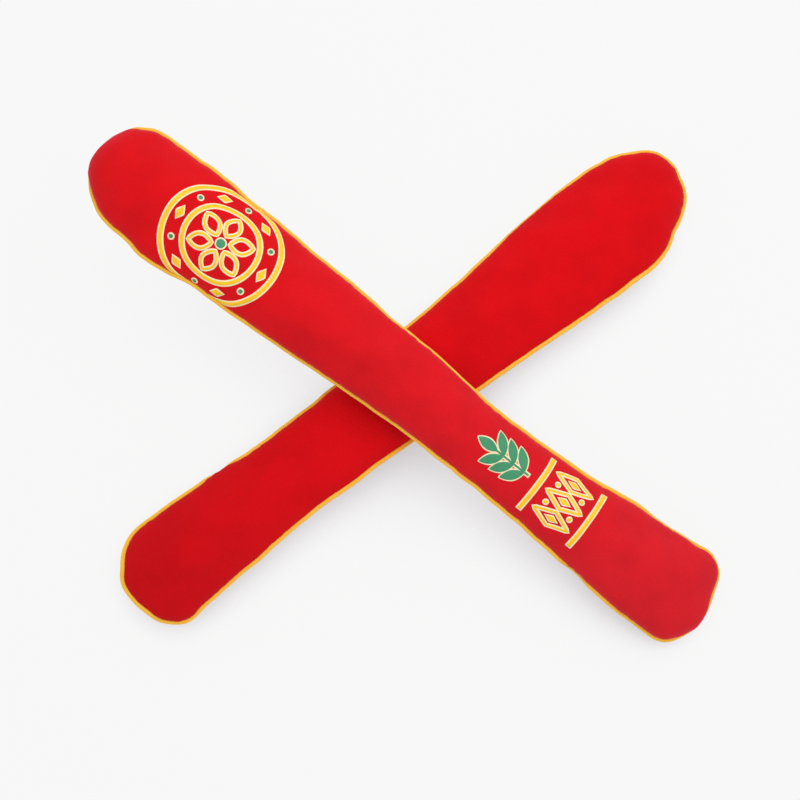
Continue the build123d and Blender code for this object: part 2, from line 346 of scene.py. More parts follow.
def closed_shell(name, covers, outer, inner, material):
    """A shell between two rib grids, closed along the seam.

    It keeps each point's distance from the seam and from the tail for its material.
    """
    shape, ribs = covers.shape, covers.ribs
    faces = seamed_faces(ribs, outer.shape[1], inner.shape[1], -1)
    vertices = np.concatenate([rib_vertices(outer, ribs), rib_vertices(inner, ribs)])
    lengths = rib_lengths(outer)[:, :, None]
    from_seam = rib_vertices(np.repeat(lengths, 3, 2), ribs)[:, 0]
    kept = {
        "from_seam": np.concatenate([from_seam, np.zeros(len(vertices) - len(from_seam))]),
        "from_tail": vertices[:, 0] - shape.tail_tip,
    }
    return mesh_object(name, placed(vertices, shape), faces, material, kept)


def drawn_in(points, ribs, depth):
    """A rib grid moved towards its spine points by depth."""
    roots = np.array([(x, 0, 0) for x, _, _ in ribs])[:, None, :]
    rays = points - roots
    reach = np.linalg.norm(rays, axis=2, keepdims=True)
    return roots + rays * (1 - depth / reach)


# ---- cloth simulation ---------------------------------------------------------------------


def stuffed_tree(shape, looks):
    """The cover as cloth under pressure from its stuffing, held at the seam."""
    ribs = shape.ribs(6 * MM)
    rows = 7
    name = f"{shape.name}_cloth"
    skins = [drawn_in(shape.skin(side, ribs, rows), ribs, looks.slack * MM) for side in (1, -1)]
    vertices = np.concatenate([rib_vertices(points, ribs) for points in skins])
    cloth = mesh_object(name, vertices, seamed_faces(ribs, rows, rows, 1), None)
    remesh = cloth.modifiers.new("even", "REMESH")
    remesh.mode = "VOXEL"
    remesh.voxel_size = looks.cloth_grid * MM
    cloth = evaluated(cloth, name)
    held = cloth.vertex_groups.new(name="seam")
    near = looks.cloth_grid * MM * 0.6
    held.add([v.index for v in cloth.data.vertices if abs(v.co.z) < near], 1.0, "REPLACE")
    blown = cloth.modifiers.new("stuffing", "CLOTH")
    blown.settings.quality = 6
    blown.settings.mass = 0.15
    blown.settings.bending_stiffness = 0.4
    blown.settings.tension_stiffness = 20
    blown.settings.compression_stiffness = 20
    blown.settings.shear_stiffness = 8
    blown.settings.vertex_group_mass = "seam"
    blown.settings.use_pressure = True
    blown.settings.uniform_pressure_force = looks.pressure
    blown.settings.shrink_min = -looks.ease
    blown.settings.effector_weights.gravity = 0
    blown.collision_settings.use_collision = False
    blown.point_cache.frame_start = 1
    blown.point_cache.frame_end = CLOTH_FRAMES
    scene = bpy.context.scene
    for step in range(1, CLOTH_FRAMES + 1):
        scene.frame_set(step)
    cloth = evaluated(cloth, name)
    scene.frame_set(1)
    smooth = cloth.modifiers.new("smooth", "SUBSURF")
    smooth.levels = 1
    smooth.render_levels = 1
    cloth = evaluated(cloth, name)
    mesh = cloth.data
    corners = [v.co for v in mesh.vertices]
    tree = BVHTree.FromPolygons(corners, [tuple(p.vertices) for p in mesh.polygons])
    bpy.data.objects.remove(cloth)
    return tree


def pressed_onto(points, normals, tree, most):
    """How far each point moves along its normal to reach the cloth, at most so far."""
    moves = np.zeros(points.shape[:2])
    probe = 8 * MM
    for k in range(points.shape[0]):
        for j in range(points.shape[1]):
            normal = Vector(normals[k, j])
            found = tree.ray_cast(Vector(points[k, j]) + normal * probe, -normal, 2 * probe)
            if found[0] is not None:
                moves[k, j] = probe - found[3]
    return np.clip(moves, -most, most)


# ---- covers -------------------------------------------------------------------------------


def crossing():
    """Point of the plan over which one stick's middle line crosses the other's."""
    ends = [middle_of(f"{name}_{end}_cap").xy for name in STICKS for end in ("tail", "head")]
    return intersect_line_line_2d(*ends)


class Place:
    """A hand-made unevenness of the seam, in mm, about one place on it.

    Where is mm from the tail on the left or right edge, or a heading in degrees round an end.
    """

    def __init__(self, edge, where, hold, fade, out=0.0, slide=0.0, tuck=0.0):
        self.edge = edge
        self.where = where
        self.hold = hold * MM
        self.fade = fade * MM
        self.out = out * MM
        self.slide = slide * MM
        self.tuck = tuck * MM


UNEVEN = {
    "upper": (
        Place("left", 32, 8, 10, slide=1.8),
        Place("left", 54, 12, 9, out=0.5, slide=0.9),
        Place("left", 78, 4, 6, out=0.5, slide=4.4, tuck=0.7),
        Place("left", 102, 9, 12, out=1.0),
        Place("left", 160, 25, 15, out=0.7),
        Place("left", 266, 50, 16, slide=3.3),
        Place("left", 300, 25, 15, out=-0.4),
        Place("left", 355, 3, 7, out=0.6),
        Place("left", 398, 8, 11, out=3.0),
        Place("head", 88, 4, 9, out=1.5),
        Place("head", -4, 13, 12, out=3.0, slide=6.0, tuck=0.8),  # cloth rolls over the piping
        Place("head", -54, 3, 7, out=1.3, slide=-1.6),
        Place("head", 50, 5, 8, out=-0.5, slide=1.6),
        Place("head", -34, 8, 7, out=-0.6),
        Place("head", -90, 4, 6, out=0.7),
        Place("right", 415, 10, 9, out=-1.2),
        Place("right", 398, 6, 8, out=1.0, slide=-1.0),
        Place("right", 356, 10, 11, out=0.9),
        Place("right", 281, 13, 17, out=1.5),
        Place("right", 240, 0, 20, out=3.0),
        Place("right", 232, 32, 12, slide=2.6),
        Place("right", 212, 8, 14, out=2.2),
        Place("right", 140, 40, 20, out=-0.8, slide=-0.8),
        Place("right", 94, 20, 12, slide=-1.4),
        Place("right", 77, 9, 8, out=1.0),
        Place("right", 45, 10, 8, out=0.5, slide=4.0),
        Place("tail", -93, 6, 8, out=1.0),
        Place("tail", -123, 4, 7, out=2.7, slide=2.2),
        Place("tail", -162, 5, 8, out=-0.4, slide=0.3),
        Place("tail", -187, 3, 7, out=2.2, slide=0.8),
        Place("tail", -201, 5, 7, out=1.0, slide=3.0, tuck=0.4),
        Place("tail", -222, 6, 8, out=0.7),
        Place("tail", -258, 7, 8, out=-0.7, slide=1.4),
    ),
    "lower": (
        Place("left", 40, 20, 15, slide=-1.8),
        Place("left", 66, 12, 14, out=0.8),
        Place("left", 89, 5, 9, out=2.2),
        Place("left", 89, 3, 8, slide=4.0, tuck=0.7),  # the sewn-up stuffing gap
        Place("left", 160, 10, 15, out=-0.2, slide=0.5),
        Place("left", 262, 20, 15, out=-0.5),
        Place("left", 347, 18, 13, out=1.5, slide=3.6),
        Place("left", 372, 4, 7, out=-0.6),
        Place("left", 401, 7, 7, out=0.8),
        Place("head", 54, 11, 9, out=2.3),
        Place("head", 18, 14, 8, slide=-1.3),
        Place("head", -43, 19, 8, out=-3.3, slide=-1.6),
        Place("right", 396, 3, 7, out=-0.6),
        Place("right", 379, 10, 12, out=1.5, slide=-3.0),
        Place("right", 328, 6, 10, out=0.6),
        Place("right", 194, 5, 8, out=0.8),
        Place("right", 345, 28, 13, out=1.5, slide=-3.2),
        Place("right", 262, 34, 20, out=2.2, slide=-3.2),
        Place("right", 178, 28, 18, out=3.0, slide=-3.2),
        Place("right", 102, 27, 15, out=0.9, slide=-2.6),
        Place("right", 44, 10, 10, out=-1.1, slide=-0.5),
        Place("tail", -98, 8, 8, out=0.4),
        Place("tail", -130, 5, 8, out=1.5, slide=1.0),
        Place("tail", -186, 15, 8, out=0.6, slide=-4.6),
        Place("tail", -208, 5, 7, out=0.8),
        Place("tail", -228, 6, 8, out=-0.9, slide=-2.9),
    ),
}


class Covers:
    """The two finished covers of a stick as rib grids, and the seam between them."""

    def __init__(self, name, looks, piping):
        self.shape = StickShape(name)
        self.ribs = self.shape.ribs(looks.grid)
        self.roots = np.array([(x, 0, 0) for x, _, _ in self.ribs])
        self.out = np.array([(cos(h), sin(h), 0) for _, h, _ in self.ribs])
        edge = [self.shape.reach(x, heading, 0) for x, heading, _ in self.ribs]
        self.foot = self.roots + self.out * np.array(edge)[:, None]
        self.along, self.total = seam_lengths(self.foot[:, None, :])
        swell, slide, tuck = self.sewing(looks)
        self.skins = {
            side: self.shape.skin(side, self.ribs, looks.rows, slide) for side in (1, -1)
        }
        tree = stuffed_tree(self.shape, looks)
        for side in (1, -1):
            self.skins[side] = self.sewn(self.stuffed(side, tree, looks), swell, tuck)
        self.foot = (self.skins[1][:, 0] + self.skins[-1][:, 0]) / 2
        for side in (1, -1):
            self.skins[side] = self.on_floor(self.seated(self.skins[side], piping))

    def stuffed(self, side, tree, looks):
        """One cover swollen by its stuffing, with lumps, and tucks beside the seam."""
        points = self.skins[side]
        normals = outward(points, side)
        lengths = rib_lengths(points)
        sewn_down = 18 * MM  # width beside the seam over which the cloth comes free
        share = np.clip(lengths / sewn_down, 0, 1)
        inland = share * share * (3 - 2 * share)
        move = np.zeros(points.shape[:2])
        if tree:
            blown = pressed_onto(points, normals, tree, looks.most_swell)
            for _ in range(4):
                blown = softened(blown, 2)
                blown[:, 1:-1] = (blown[:, :-2] + 2 * blown[:, 1:-1] + blown[:, 2:]) / 4
            rays = points - self.roots[:, None, :]
            reach = np.linalg.norm(rays, axis=2)
            blown = calm(blown, rays / reach[:, :, None], reach, self.ribs)
            move += blown * inland
        move += self.puckers(side, lengths, looks)
        move += self.lumps(points, looks) * inland
        move = self.pressed(points, side, move)
        return meet_on_spine(points + normals * move[:, :, None], self.ribs)

    def puckers(self, side, lengths, looks):
        """Short tucks that run in from the seam."""
        seed = 11 if side > 0 else 23
        fine = ripple(self.along, self.total, looks.pucker_pitch, seed)
        slow = ripple(self.along, self.total, 60 * MM, seed + 1)
        spread = ripple(self.along, self.total, 15 * MM, seed + 2)
        run = np.maximum(looks.pucker_length * (1 + 0.4 * spread), 3 * MM)
        height = looks.pucker_depth * fine * (0.7 + 0.5 * slow)
        fade = np.exp(-((lengths / run[:, None]) ** 2))
        rise = np.clip(lengths / (1.5 * MM), 0.3, 1)
        return height[:, None] * fade * rise

    def lumps(self, points, looks):
        """Slow unevenness of the stuffing under the cloth."""
        heights = np.zeros(points.shape[:2])
        start = 7.0 if self.shape.name == "upper" else 19.0
        for k in range(points.shape[0]):
            for j in range(points.shape[1]):
                place = Vector(points[k, j]) / looks.lump_size
                heights[k, j] = noise.noise(place + Vector((start, 0, 0)))
        return heights * looks.lump_depth

    def pressed(self, points, side, move):
        """Moves with none outwards where one stick lies on the other."""
        touching = 1 if self.shape.name == "lower" else -1
        if side != touching:
            return move
        away = np.linalg.norm(placed(points, self.shape)[:, :, :2] - np.array(crossing()), axis=2)
        flat = 28 * MM  # radius of the contact, and the width of its fade
        fade = 14 * MM
        held = np.exp(-((np.maximum(away - flat, 0) / fade) ** 2))
        return move * (1 - held)

    def on_floor(self, points):
        """Points that would sink through the floor laid flat on it."""
        world = placed(points, self.shape)
        world[:, :, 2] = np.maximum(world[:, :, 2], FLOOR_GAP)
        matrix = np.array(self.shape.matrix.inverted())
        return world @ matrix[:3, :3].T + matrix[:3, 3]

    def rib_at(self, edge, where):
        """Number of the rib nearest to a place on the seam, as Place gives it."""
        if edge in ("head", "tail"):
            x = self.shape.spine[1] if edge == "head" else self.shape.spine[0]
            heading = radians(where)
        else:
            x = self.shape.tail_tip + where * MM
            heading = pi / 2 if edge == "left" else -pi / 2
        gaps = [abs(rx - x) + 0.05 * (1 - cos(h - heading)) for rx, h, _ in self.ribs]
        return int(np.argmin(gaps))

    def near(self, place):
        """Share of a place's effect on each rib, from 0 to 1."""
        away = np.abs(self.along - self.along[self.rib_at(place.edge, place.where)])
        away = np.minimum(away, self.total - away)
        return np.exp(-((np.maximum(away - place.hold, 0) / place.fade) ** 2))

    def sewing(self, looks):
        """How far hand sewing left the seam out, down the girth and pulled in, at each rib."""
        swell = looks.edge_swell + 0.25 * MM * ripple(self.along, self.total, 26 * MM, 37)
        slide = 0.35 * MM * ripple(self.along, self.total, 50 * MM, 31)
        tuck = np.zeros_like(slide)
        for place in UNEVEN[self.shape.name]:
            share = self.near(place)
            swell += place.out * share
            slide += place.slide * share
            tuck += place.tuck * share
        return swell, slide, tuck

    def sewn(self, points, swell, tuck):
        """A skin widened by swell at its edge, and drawn in by tuck beside the seam."""
        rays = points - self.roots[:, None, :]
        reach = np.linalg.norm(rays, axis=2)
        level = (np.linalg.norm(rays[:, :, :2], axis=2) / np.maximum(reach, 1e-9)) ** 4
        tuck_width = 2.6 * MM
        beside = np.exp(-((rib_lengths(points) / tuck_width) ** 2))
        out = level * swell[:, None] - beside * tuck[:, None]
        return points + self.out[:, None, :] * out[:, :, None]

    def seated(self, points, piping):
        """A skin hollowed beside the seam, so that the piping lies between the covers."""
        clearance = 0.04 * MM
        radius = piping.radius + clearance
        rise = points[:, :, 2] - self.foot[:, None, 2]
        reach = ((points - self.foot[:, None, :]) * self.out[:, None, :]).sum(2)
        over = np.maximum(radius**2 - rise**2, 0)
        limit = np.where(over > 0, piping.stand - np.sqrt(over), FAR)
        back = np.maximum(reach - limit, 0)
        back[:, -1] = 0
        return points - self.out[:, None, :] * back[:, :, None]

    def tucked(self, side):
        """The skin with one more row, where the cloth turns in under the piping."""
        points = self.skins[side]
        turn_in = 1.4 * MM
        gap = 0.3 * MM  # to the seam's middle
        inner = points[:, :1] - self.out[:, None, :] * turn_in
        inner[:, 0, 2] = self.foot[:, 2] + side * gap
        return np.concatenate([inner, points], 1)


made_covers = {}


def covers_of(name):
    """The covers of one stick, made once."""
    if name not in made_covers:
        scene = bpy.context.scene
        made_covers[name] = Covers(name, scene.stick_covers, scene.stick_piping)
    return made_covers[name]


# ---- materials ----------------------------------------------------------------------------


def new_material(name):
    """An empty node material, its tree and its Object coordinates."""
    material = bpy.data.materials.new(name)
    material.use_nodes = True
    tree = material.node_tree
    tree.nodes.clear()
    return material, tree, add(tree, "ShaderNodeTexCoord").outputs["Object"]


def velvet_material(name, pile, tail_light, tail_reach, bloom):
    """Short-pile polyester velvet: dull, with a pink bloom where it is seen edge on, painted light
    towards the tail and painted shade beside the seam.
    """
    material, tree, place = new_material(name)
    # painted light towards the tail: the front's pile is painted pinker there as painted sheen, and the
    # back's darker as painted shade, fading out at the given reach
    tail = add(tree, "ShaderNodeAttribute", attribute_name="from_tail").outputs["Fac"]
    free = add(tree, "ShaderNodeMapRange", {"Value": tail, "From Min": 40 * MM, "From Max": tail_reach})
    red = add(tree, "ShaderNodeMix", {"Factor": free, 6: tail_light, 7: pile}, data_type="RGBA")
    # strokes leave patches of pile that lie the other way and look a tenth darker
    strokes = add(tree, "ShaderNodeTexNoise", {"Vector": place, "Scale": 1 / (26 * MM), "Detail": 3.0})
    lie = add(
        tree,
        "ShaderNodeMapRange",
        {"Value": strokes, "From Min": 0.35, "From Max": 0.6, "To Min": 0.9, "To Max": 1.0},
    )
    # the pile's tufts are 0.3 mm apart, and drawn at 0.8 mm so that they show
    tufts = add(
        tree, "ShaderNodeTexNoise", {"Vector": place, "Scale": 1 / (0.8 * MM), "Roughness": 0.7}
    )
    tips = add(
        tree,
        "ShaderNodeMapRange",
        {"Value": tufts, "From Min": 0.3, "From Max": 0.7, "To Min": 0.902, "To Max": 1.042},
    )
    tone = add(tree, "ShaderNodeMath", {0: lie, 1: tips}, operation="MULTIPLY")
    brushed = add(
        tree,
        "ShaderNodeMix",
        {"Factor": 1.0, 6: red.outputs[2], 7: tone},
        data_type="RGBA",
        blend_type="MULTIPLY",
    )
    # painted shade: the pile is painted a fifth darker in the first millimetres beside the seam, in the
    # groove against the piping
    seam = add(tree, "ShaderNodeAttribute", attribute_name="from_seam").outputs["Fac"]
    clear_of_seam = add(tree, "ShaderNodeMapRange", {"Value": seam, "From Min": 0.0, "From Max": 2 * MM})
    colour = add(
        tree,
        "ShaderNodeMix",
        {"Factor": clear_of_seam, 6: toned(pile, 0.8), 7: brushed.outputs[2]},
        data_type="RGBA",
    )
    nap = add(tree, "ShaderNodeTexNoise", {"Vector": place, "Scale": 1 / (7 * MM), "Detail": 3.0})
    waves = add(tree, "ShaderNodeBump", {"Height": nap, "Strength": 0.35, "Distance": 0.5 * MM})
    relief = add(
        tree,
        "ShaderNodeBump",
        {"Height": tufts, "Strength": 0.5, "Distance": 0.25 * MM, "Normal": waves},
    )
    shader = add(
        tree,
        "ShaderNodeBsdfPrincipled",
        {
            "Base Color": colour.outputs[2],
            "Roughness": 0.92,
            "Specular IOR Level": 0.12,
            "Sheen Weight": bloom,
            "Sheen Roughness": 0.45,
            "Sheen Tint": linear("FF7F98"),
            "Normal": relief,
        },
    )
    add(tree, "ShaderNodeOutputMaterial", {"Surface": shader})
    return material


def piping_material(name, amber):
    """Bias-cut satin-weave cotton: amber, with fine diagonal threads and a soft gloss."""
    material, tree, place = new_material(name)
    along = add(tree, "ShaderNodeAttribute", attribute_name="along").outputs["Fac"]
    around = add(tree, "ShaderNodeAttribute", attribute_name="around").outputs["Fac"]
    # threads are 0.25 mm apart, and drawn at 0.7 mm so that they show
    turn = add(tree, "ShaderNodeMath", {0: around, 1: 2 * pi * 9}, operation="MULTIPLY")
    phase = add(
        tree,
        "ShaderNodeMath",
        {0: along, 1: 2 * pi / (0.7 * MM), 2: turn},
        operation="MULTIPLY_ADD",
    )
    thread = add(tree, "ShaderNodeMath", {0: phase}, operation="SINE")
    # painted shade: the hollows between the threads are painted darker and deeper amber than their
    # crowns
    hollow = [c * share for c, share in zip(amber, (0.94, 0.78, 0.6, 1.0))]
    crown = add(tree, "ShaderNodeMapRange", {"Value": thread, "From Min": -1.2, "From Max": 0.6})
    woven = add(tree, "ShaderNodeMix", {"Factor": crown, 6: hollow, 7: amber}, data_type="RGBA")
    # in random patches, where rubbing has flattened the weave, the hollows' painted shade fades back to
    # plain amber
    rubs = add(tree, "ShaderNodeTexNoise", {"Vector": place, "Scale": 1 / (9 * MM)})
    flat = add(tree, "ShaderNodeMapRange", {"Value": rubs, "From Min": 0.45, "From Max": 0.75})
    colour = add(
        tree, "ShaderNodeMix", {"Factor": flat, 6: woven.outputs[2], 7: amber}, data_type="RGBA"
    )
    folds = add(tree, "ShaderNodeTexNoise", {"Vector": place, "Scale": 1 / (2.2 * MM)})
    creases = add(tree, "ShaderNodeBump", {"Height": folds, "Strength": 0.5, "Distance": 0.3 * MM})
    relief = add(
        tree,
        "ShaderNodeBump",
        {"Height": thread, "Strength": 0.35, "Distance": 0.1 * MM, "Normal": creases},
    )
    shader = add(
        tree,
        "ShaderNodeBsdfPrincipled",
        {
            "Base Color": colour.outputs[2],
            "Roughness": 0.55,
            "Specular IOR Level": 0.3,
            "Sheen Weight": 0.15,
            "Normal": relief,
        },
    )
    add(tree, "ShaderNodeOutputMaterial", {"Surface": shader})
    return material


def grained_material(name, dark, pale, mottle, relief, rough, specular, stretch=(1, 1, 1)):
    """A finish whose colour runs from dark to pale with a noise, and whose relief follows another.

    Mottle is a noise's size, detail and roughness, and the part of its range that shows. Relief
    is a noise's size, detail and roughness, and its bump's strength and depth.
    """
    material, tree, place = new_material(name)
    grain = add(tree, "ShaderNodeMapping", {"Vector": place, "Scale": stretch})
    tones, heights = [
        add(
            tree,
            "ShaderNodeTexNoise",
            {"Vector": grain, "Scale": 1 / size, "Detail": detail, "Roughness": roughness},
        )
        for size, detail, roughness, _, _ in (mottle, relief)
    ]
    share = add(
        tree, "ShaderNodeMapRange", {"Value": tones, "From Min": mottle[3], "From Max": mottle[4]}
    )
    colour = add(tree, "ShaderNodeMix", {"Factor": share, 6: dark, 7: pale}, data_type="RGBA")
    raised = add(
        tree, "ShaderNodeBump", {"Height": heights, "Strength": relief[3], "Distance": relief[4]}
    )
    shader = add(
        tree,
        "ShaderNodeBsdfPrincipled",
        {
            "Base Color": colour.outputs[2],
            "Roughness": rough,
            "Specular IOR Level": specular,
            "Normal": raised,
        },
    )
    add(tree, "ShaderNodeOutputMaterial", {"Surface": shader})
    return material


def film_material(name, colour, rough):
    """Heat-pressed print film: an even colour with the weave showing faintly through."""
    # the backing's threads are 0.4 mm apart, and drawn at 0.9 mm so that they show
    patches = (5 * MM, 3.0, 0.5, 0.3, 0.55)
    weave = (0.9 * MM, 2.0, 0.5, 0.25, 0.12 * MM)
    return grained_material(name, toned(colour, 0.9), colour, patches, weave, rough, 0.35)


def fibre_material(name, code, size, depth):
    """Loose or spun fibres: dull, with an uneven pale colour."""
    pale = linear(code)
    tufts = (size, 4.0, 0.7)
    return grained_material(
        name, toned(pale, 0.8), pale, (*tufts, 0.3, 0.7), (*tufts, 0.6, depth), 0.95, 0.15
    )


def beech_material(name):
    """Turned beech: pale, with short flecks along the grain."""
    dark, pale = linear("B98C5C"), linear("D9B184")
    flecks = (1.2 * MM, 4.0, 0.6)
    ranges = (*flecks, 0.3, 0.7), (*flecks, 0.3, 0.1 * MM)
    return grained_material(name, dark, pale, *ranges, 0.5, 0.5, (0.2, 0.2, 1.0))


def rubber_material(name):
    """Moulded black rubber: dull, with a fine stipple from the mould."""
    dark, pale = linear("161616"), linear("242424")
    stipple = (0.5 * MM, 2.0, 0.5)
    ranges = (*stipple, 0.3, 0.7), (*stipple, 0.4, 0.1 * MM)
    return grained_material(name, dark, pale, *ranges, 0.7, 0.5)


def finish(build, name, *values):
    """The material of that name, built the first time it is wanted."""
    return bpy.data.materials.get(name) or build(name, *values)


# ---- sizes and colours a user would change --------------------------------------------------


class CoverLooks(bpy.types.PropertyGroup):
    """Velvet, its swelling and its tucks"""

    front_velvet: FloatVectorProperty(
        name="Front velvet", description="Pile", subtype="COLOR", size=4, default=linear("DF0C15")
    )
    # painted sheen: the front's pile is painted pinker towards the tail
    front_tail_sheen: FloatVectorProperty(
        name="Front tail sheen",
        description="Pile at the tail",
        subtype="COLOR",
        size=4,
        default=linear("DB1C27"),
    )
    back_velvet: FloatVectorProperty(
        name="Back velvet", description="Pile", subtype="COLOR", size=4, default=linear("DC0510")
    )
    # painted shade: the back's pile is painted darker towards the tail
    back_tail_shade: FloatVectorProperty(
        name="Back tail shade",
        description="Pile at the tail",
        subtype="COLOR",
        size=4,
        default=linear("CF0612"),
    )
    # how far from the tail the painted sheen of the front and the painted shade of the back reach
    front_sheen_reach: FloatProperty(
        name="Front sheen reach", description="How far the painted tail colour reaches", subtype="DISTANCE", default=0.38
    )
    back_shade_reach: FloatProperty(
        name="Back shade reach", description="How far the painted tail colour reaches", subtype="DISTANCE", default=0.17
    )
    front_bloom: FloatProperty(
        name="Front bloom",
        description="Sheen of the pile",
        subtype="FACTOR",
        default=0.38,
        min=0,
        max=1,
    )
    back_bloom: FloatProperty(
        name="Back bloom", description="Sheen of the pile", subtype="FACTOR", default=0.14, min=0, max=1
    )
    grid: FloatProperty(
        name="Grid",
        description="Spacing of the ribs",
        subtype="DISTANCE",
        default=1.6 * MM,
        min=0.8 * MM,
    )
    rows: IntProperty(name="Rows", description="Points on a rib", default=30, min=8)
    wall: FloatProperty(
        name="Wall", description="Cloth thickness", subtype="DISTANCE", default=1.2 * MM, min=0.5 * MM
    )
    # the folds of the cloth change with the last digit of these two, which are in mm for that
    slack: FloatProperty(name="Slack", description="How far inside cloth starts in mm", default=1.2)
    cloth_grid: FloatProperty(name="Cloth grid", description="Cloth spacing in mm", default=3.0)
    ease: FloatProperty(name="Ease", description="Extra cloth", subtype="FACTOR", default=0.02, max=1)
    pressure: FloatProperty(name="Pressure", description="Push of the stuffing", default=4.0)
    most_swell: FloatProperty(
        name="Most swell", description="Limit of the swelling", subtype="DISTANCE", default=2 * MM
    )
    pucker_pitch: FloatProperty(
        name="Pucker pitch", description="Tucks along the seam", subtype="DISTANCE", default=7.5 * MM
    )
    pucker_length: FloatProperty(
        name="Pucker length", description="How far in tucks run", subtype="DISTANCE", default=8 * MM
    )
    pucker_depth: FloatProperty(
        name="Pucker depth", description="Height of a tuck", subtype="DISTANCE", default=0.32 * MM
    )
    lump_size: FloatProperty(
        name="Lump size", description="Of the stuffing", subtype="DISTANCE", default=34 * MM
    )
    lump_depth: FloatProperty(
        name="Lump depth", description="Height of a lump", subtype="DISTANCE", default=0.7 * MM
    )
    edge_swell: FloatProperty(
        name="Edge swell",
        description="Of cloth beside the piping",
        subtype="DISTANCE",
        default=0.9 * MM,
    )


class PipingLooks(bpy.types.PropertyGroup):
    """Piping and the stitches under it"""

    amber: FloatVectorProperty(
        name="Amber", description="Bias strip", subtype="COLOR", size=4, default=linear("FFC738")
    )
    radius: FloatProperty(
        name="Radius", description="Of the piping", subtype="DISTANCE", default=1.5 * MM
    )
    stand: FloatProperty(
        name="Stand",
        description="Piping's middle beyond the seam",
        subtype="DISTANCE",
        default=0.5 * MM,
    )
    cord_radius: FloatProperty(
        name="Cord radius", description="Of the cord inside", subtype="DISTANCE", default=0.85 * MM
    )
    flange: FloatProperty(
        name="Flange", description="Width inside the seam", subtype="DISTANCE", default=7 * MM
    )
    stitches: IntProperty(name="Stitches", description="In the stuffing gap", default=7, min=2)
    stitch_pitch: FloatProperty(
        name="Stitch pitch", description="Between two stitches", subtype="DISTANCE", default=5 * MM
    )
    stitch_length: FloatProperty(
        name="Stitch length", description="Across the seam", subtype="DISTANCE", default=2.4 * MM
    )
    thread: FloatProperty(
        name="Thread", description="Its radius", subtype="DISTANCE", default=0.22 * MM
    )


class PrintLooks(bpy.types.PropertyGroup):
    """Film and the ornaments' places"""

    yellow: FloatVectorProperty(
        name="Yellow", description="Film", subtype="COLOR", size=4, default=linear("FFCB12")
    )
    cream: FloatVectorProperty(
        name="Cream", description="Edging", subtype="COLOR", size=4, default=linear("FBEBC0")
    )
    green: FloatVectorProperty(
        name="Green", description="Film", subtype="COLOR", size=4, default=linear("3F9468")
    )
    edging: FloatProperty(
        name="Edging", description="Pale border", subtype="DISTANCE", default=0.8 * MM
    )
    film: FloatProperty(name="Film", description="Thickness", subtype="DISTANCE", default=0.16 * MM)
    line: FloatProperty(name="Line", description="Main lines", subtype="DISTANCE", default=2.6 * MM)
    rosette: FloatProperty(name="Rosette", description="Radius", subtype="DISTANCE", default=37 * MM)
    rosette_from_head: FloatProperty(
        name="Rosette from head", description="Its middle", subtype="DISTANCE", default=91 * MM
    )
    rosette_off: FloatProperty(
        name="Rosette off centre", description="To the left", subtype="DISTANCE", default=3.5 * MM
    )
    border_from_tail: FloatProperty(
        name="Border from tail", description="Its middle", subtype="DISTANCE", default=113 * MM
    )


class StageLooks(bpy.types.PropertyGroup):
    """Floor, light and camera"""

    floor: FloatVectorProperty(
        name="Floor", description="Paper", subtype="COLOR", size=4, default=linear("F8F8F8")
    )
    paleness: FloatProperty(
        name="Paleness",
        description="How far shadows fade",
        subtype="FACTOR",
        default=0.95,
        min=0,
        max=1,
    )
    shadow_reach: FloatProperty(
        name="Shadow reach", description="Height that casts one", subtype="DISTANCE", default=0.3
    )
    shadow_depth: FloatProperty(
        name="Shadow depth",
        description="Tone of the darkest",
        subtype="FACTOR",
        default=0.56,
        min=0,
        max=1,
    )
    sky: FloatProperty(name="Sky", description="Strength of the even light", default=0.72)
    key: FloatProperty(name="Key", description="The key light", subtype="POWER", default=3.7)
    key_size: FloatProperty(name="Key size", description="Its width", subtype="DISTANCE", default=0.9)
    key_distance: FloatProperty(
        name="Key distance", description="From the sticks", subtype="DISTANCE", default=0.9
    )
    distance: FloatProperty(
        name="Distance", description="Camera to the sticks", subtype="DISTANCE", default=0.948
    )
    tilt: FloatProperty(
        name="Tilt", description="Camera off the vertical", subtype="ANGLE", default=radians(9.85)
    )
    roll: FloatProperty(
        name="Roll", description="Of the camera", subtype="ANGLE", default=radians(0.32)
    )
    lens: FloatProperty(name="Lens", description="Focal length", unit="CAMERA", default=67.2)


# ---- operators ------------------------------------------------------------------------------


